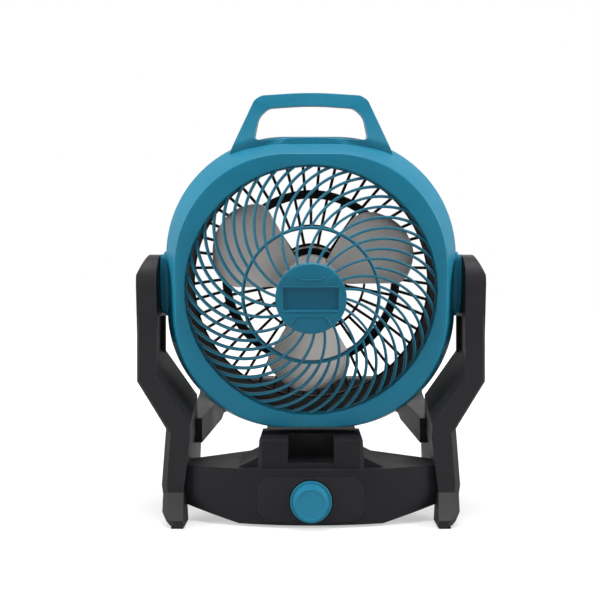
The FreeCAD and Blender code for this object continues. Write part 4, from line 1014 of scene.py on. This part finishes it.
def buildFloor():
    # its glow grows to plain white away from the fan, and leaves the shadow near it
    s = studio
    floorMaterial, tree, shader = startMaterial("paleFloor")
    place = addNode(tree, "ShaderNodeTexCoord").outputs["Object"]
    grain = noise(tree, place, s["floorGrain"], s["floorDetail"])
    paper = mixColour(tree, grain, s["floorDark"], s["floorPale"])
    tree.links.new(paper, shader.inputs["Base Color"])
    shader.inputs["Roughness"].default_value = s["floorRough"]
    shader.inputs["Specular IOR Level"].default_value = s["floorSpecular"]
    away = addNode(tree, "ShaderNodeVectorMath", {0: place}, operation="LENGTH").outputs["Value"]
    level = spread(tree, away, s["fadeStart"], s["fadeEnd"], s["floorGlow"], 1.0)
    strength = times(tree, seenShare(tree, place), level)
    glow = addNode(tree, "ShaderNodeEmission", {"Color": (1, 1, 1, 1), "Strength": strength})
    total = addNode(tree, "ShaderNodeAddShader")
    tree.links.new(shader.outputs[0], total.inputs[0])
    tree.links.new(glow.outputs[0], total.inputs[1])
    tree.links.new(total.outputs[0], tree.nodes["Material Output"].inputs["Surface"])
    half = s["floorSize"] / 2
    corners = [(-half, -half, 0), (half, -half, 0), (half, half, 0), (-half, half, 0)]
    mesh = bpy.data.meshes.new("floor")
    mesh.from_pydata(corners, [], [(0, 1, 2, 3)])
    floor = bpy.data.objects.new("floor", mesh)
    bpy.context.scene.collection.objects.link(floor)
    mesh.materials.append(floorMaterial)


lamps = {
    "topSoftbox": {"place": (0.0, -0.35, 1.5), "size": (1.2, 0.8), "power": 20},
    "leftSoftbox": {"place": (-1.3, -0.45, 0.6), "size": (0.7, 0.9), "power": 20},
    "rightSoftbox": {"place": (1.3, -0.45, 0.6), "size": (0.7, 0.9), "power": 20},
    "backRim": {"place": (0.2, 1.3, 1.1), "size": (1.4, 0.8), "power": 5},
}
lampAim = Vector((0, 0, 0.2))


def buildLamps():
    for name, values in lamps.items():
        data = bpy.data.lights.new(name, "AREA")
        data.shape = "RECTANGLE"
        data.size, data.size_y = values["size"]
        data.energy = values["power"]
        lamp = bpy.data.objects.new(name, data)
        bpy.context.scene.collection.objects.link(lamp)
        lamp.location = values["place"]
        lamp.rotation_euler = (lampAim - Vector(values["place"])).to_track_quat("-Z", "Y").to_euler()


def buildCamera():
    # level, in front of the fan
    data = bpy.data.cameras.new("photographView")
    data.sensor_width = studio["sensor"]
    data.lens = studio["focal"]
    data.shift_x, data.shift_y = studio["shift"]
    data.clip_start, data.clip_end = studio["nearest"], studio["farthest"]
    camera = bpy.data.objects.new("photographView", data)
    bpy.context.scene.collection.objects.link(camera)
    camera.location = studio["cameraPlace"]
    camera.rotation_euler = (math.radians(90), 0, 0)
    bpy.context.scene.camera = camera


buildWorld()
buildFloor()
buildLamps()
buildCamera()
bpy.context.scene.view_settings.view_transform = "Standard"
print("stage: studio")
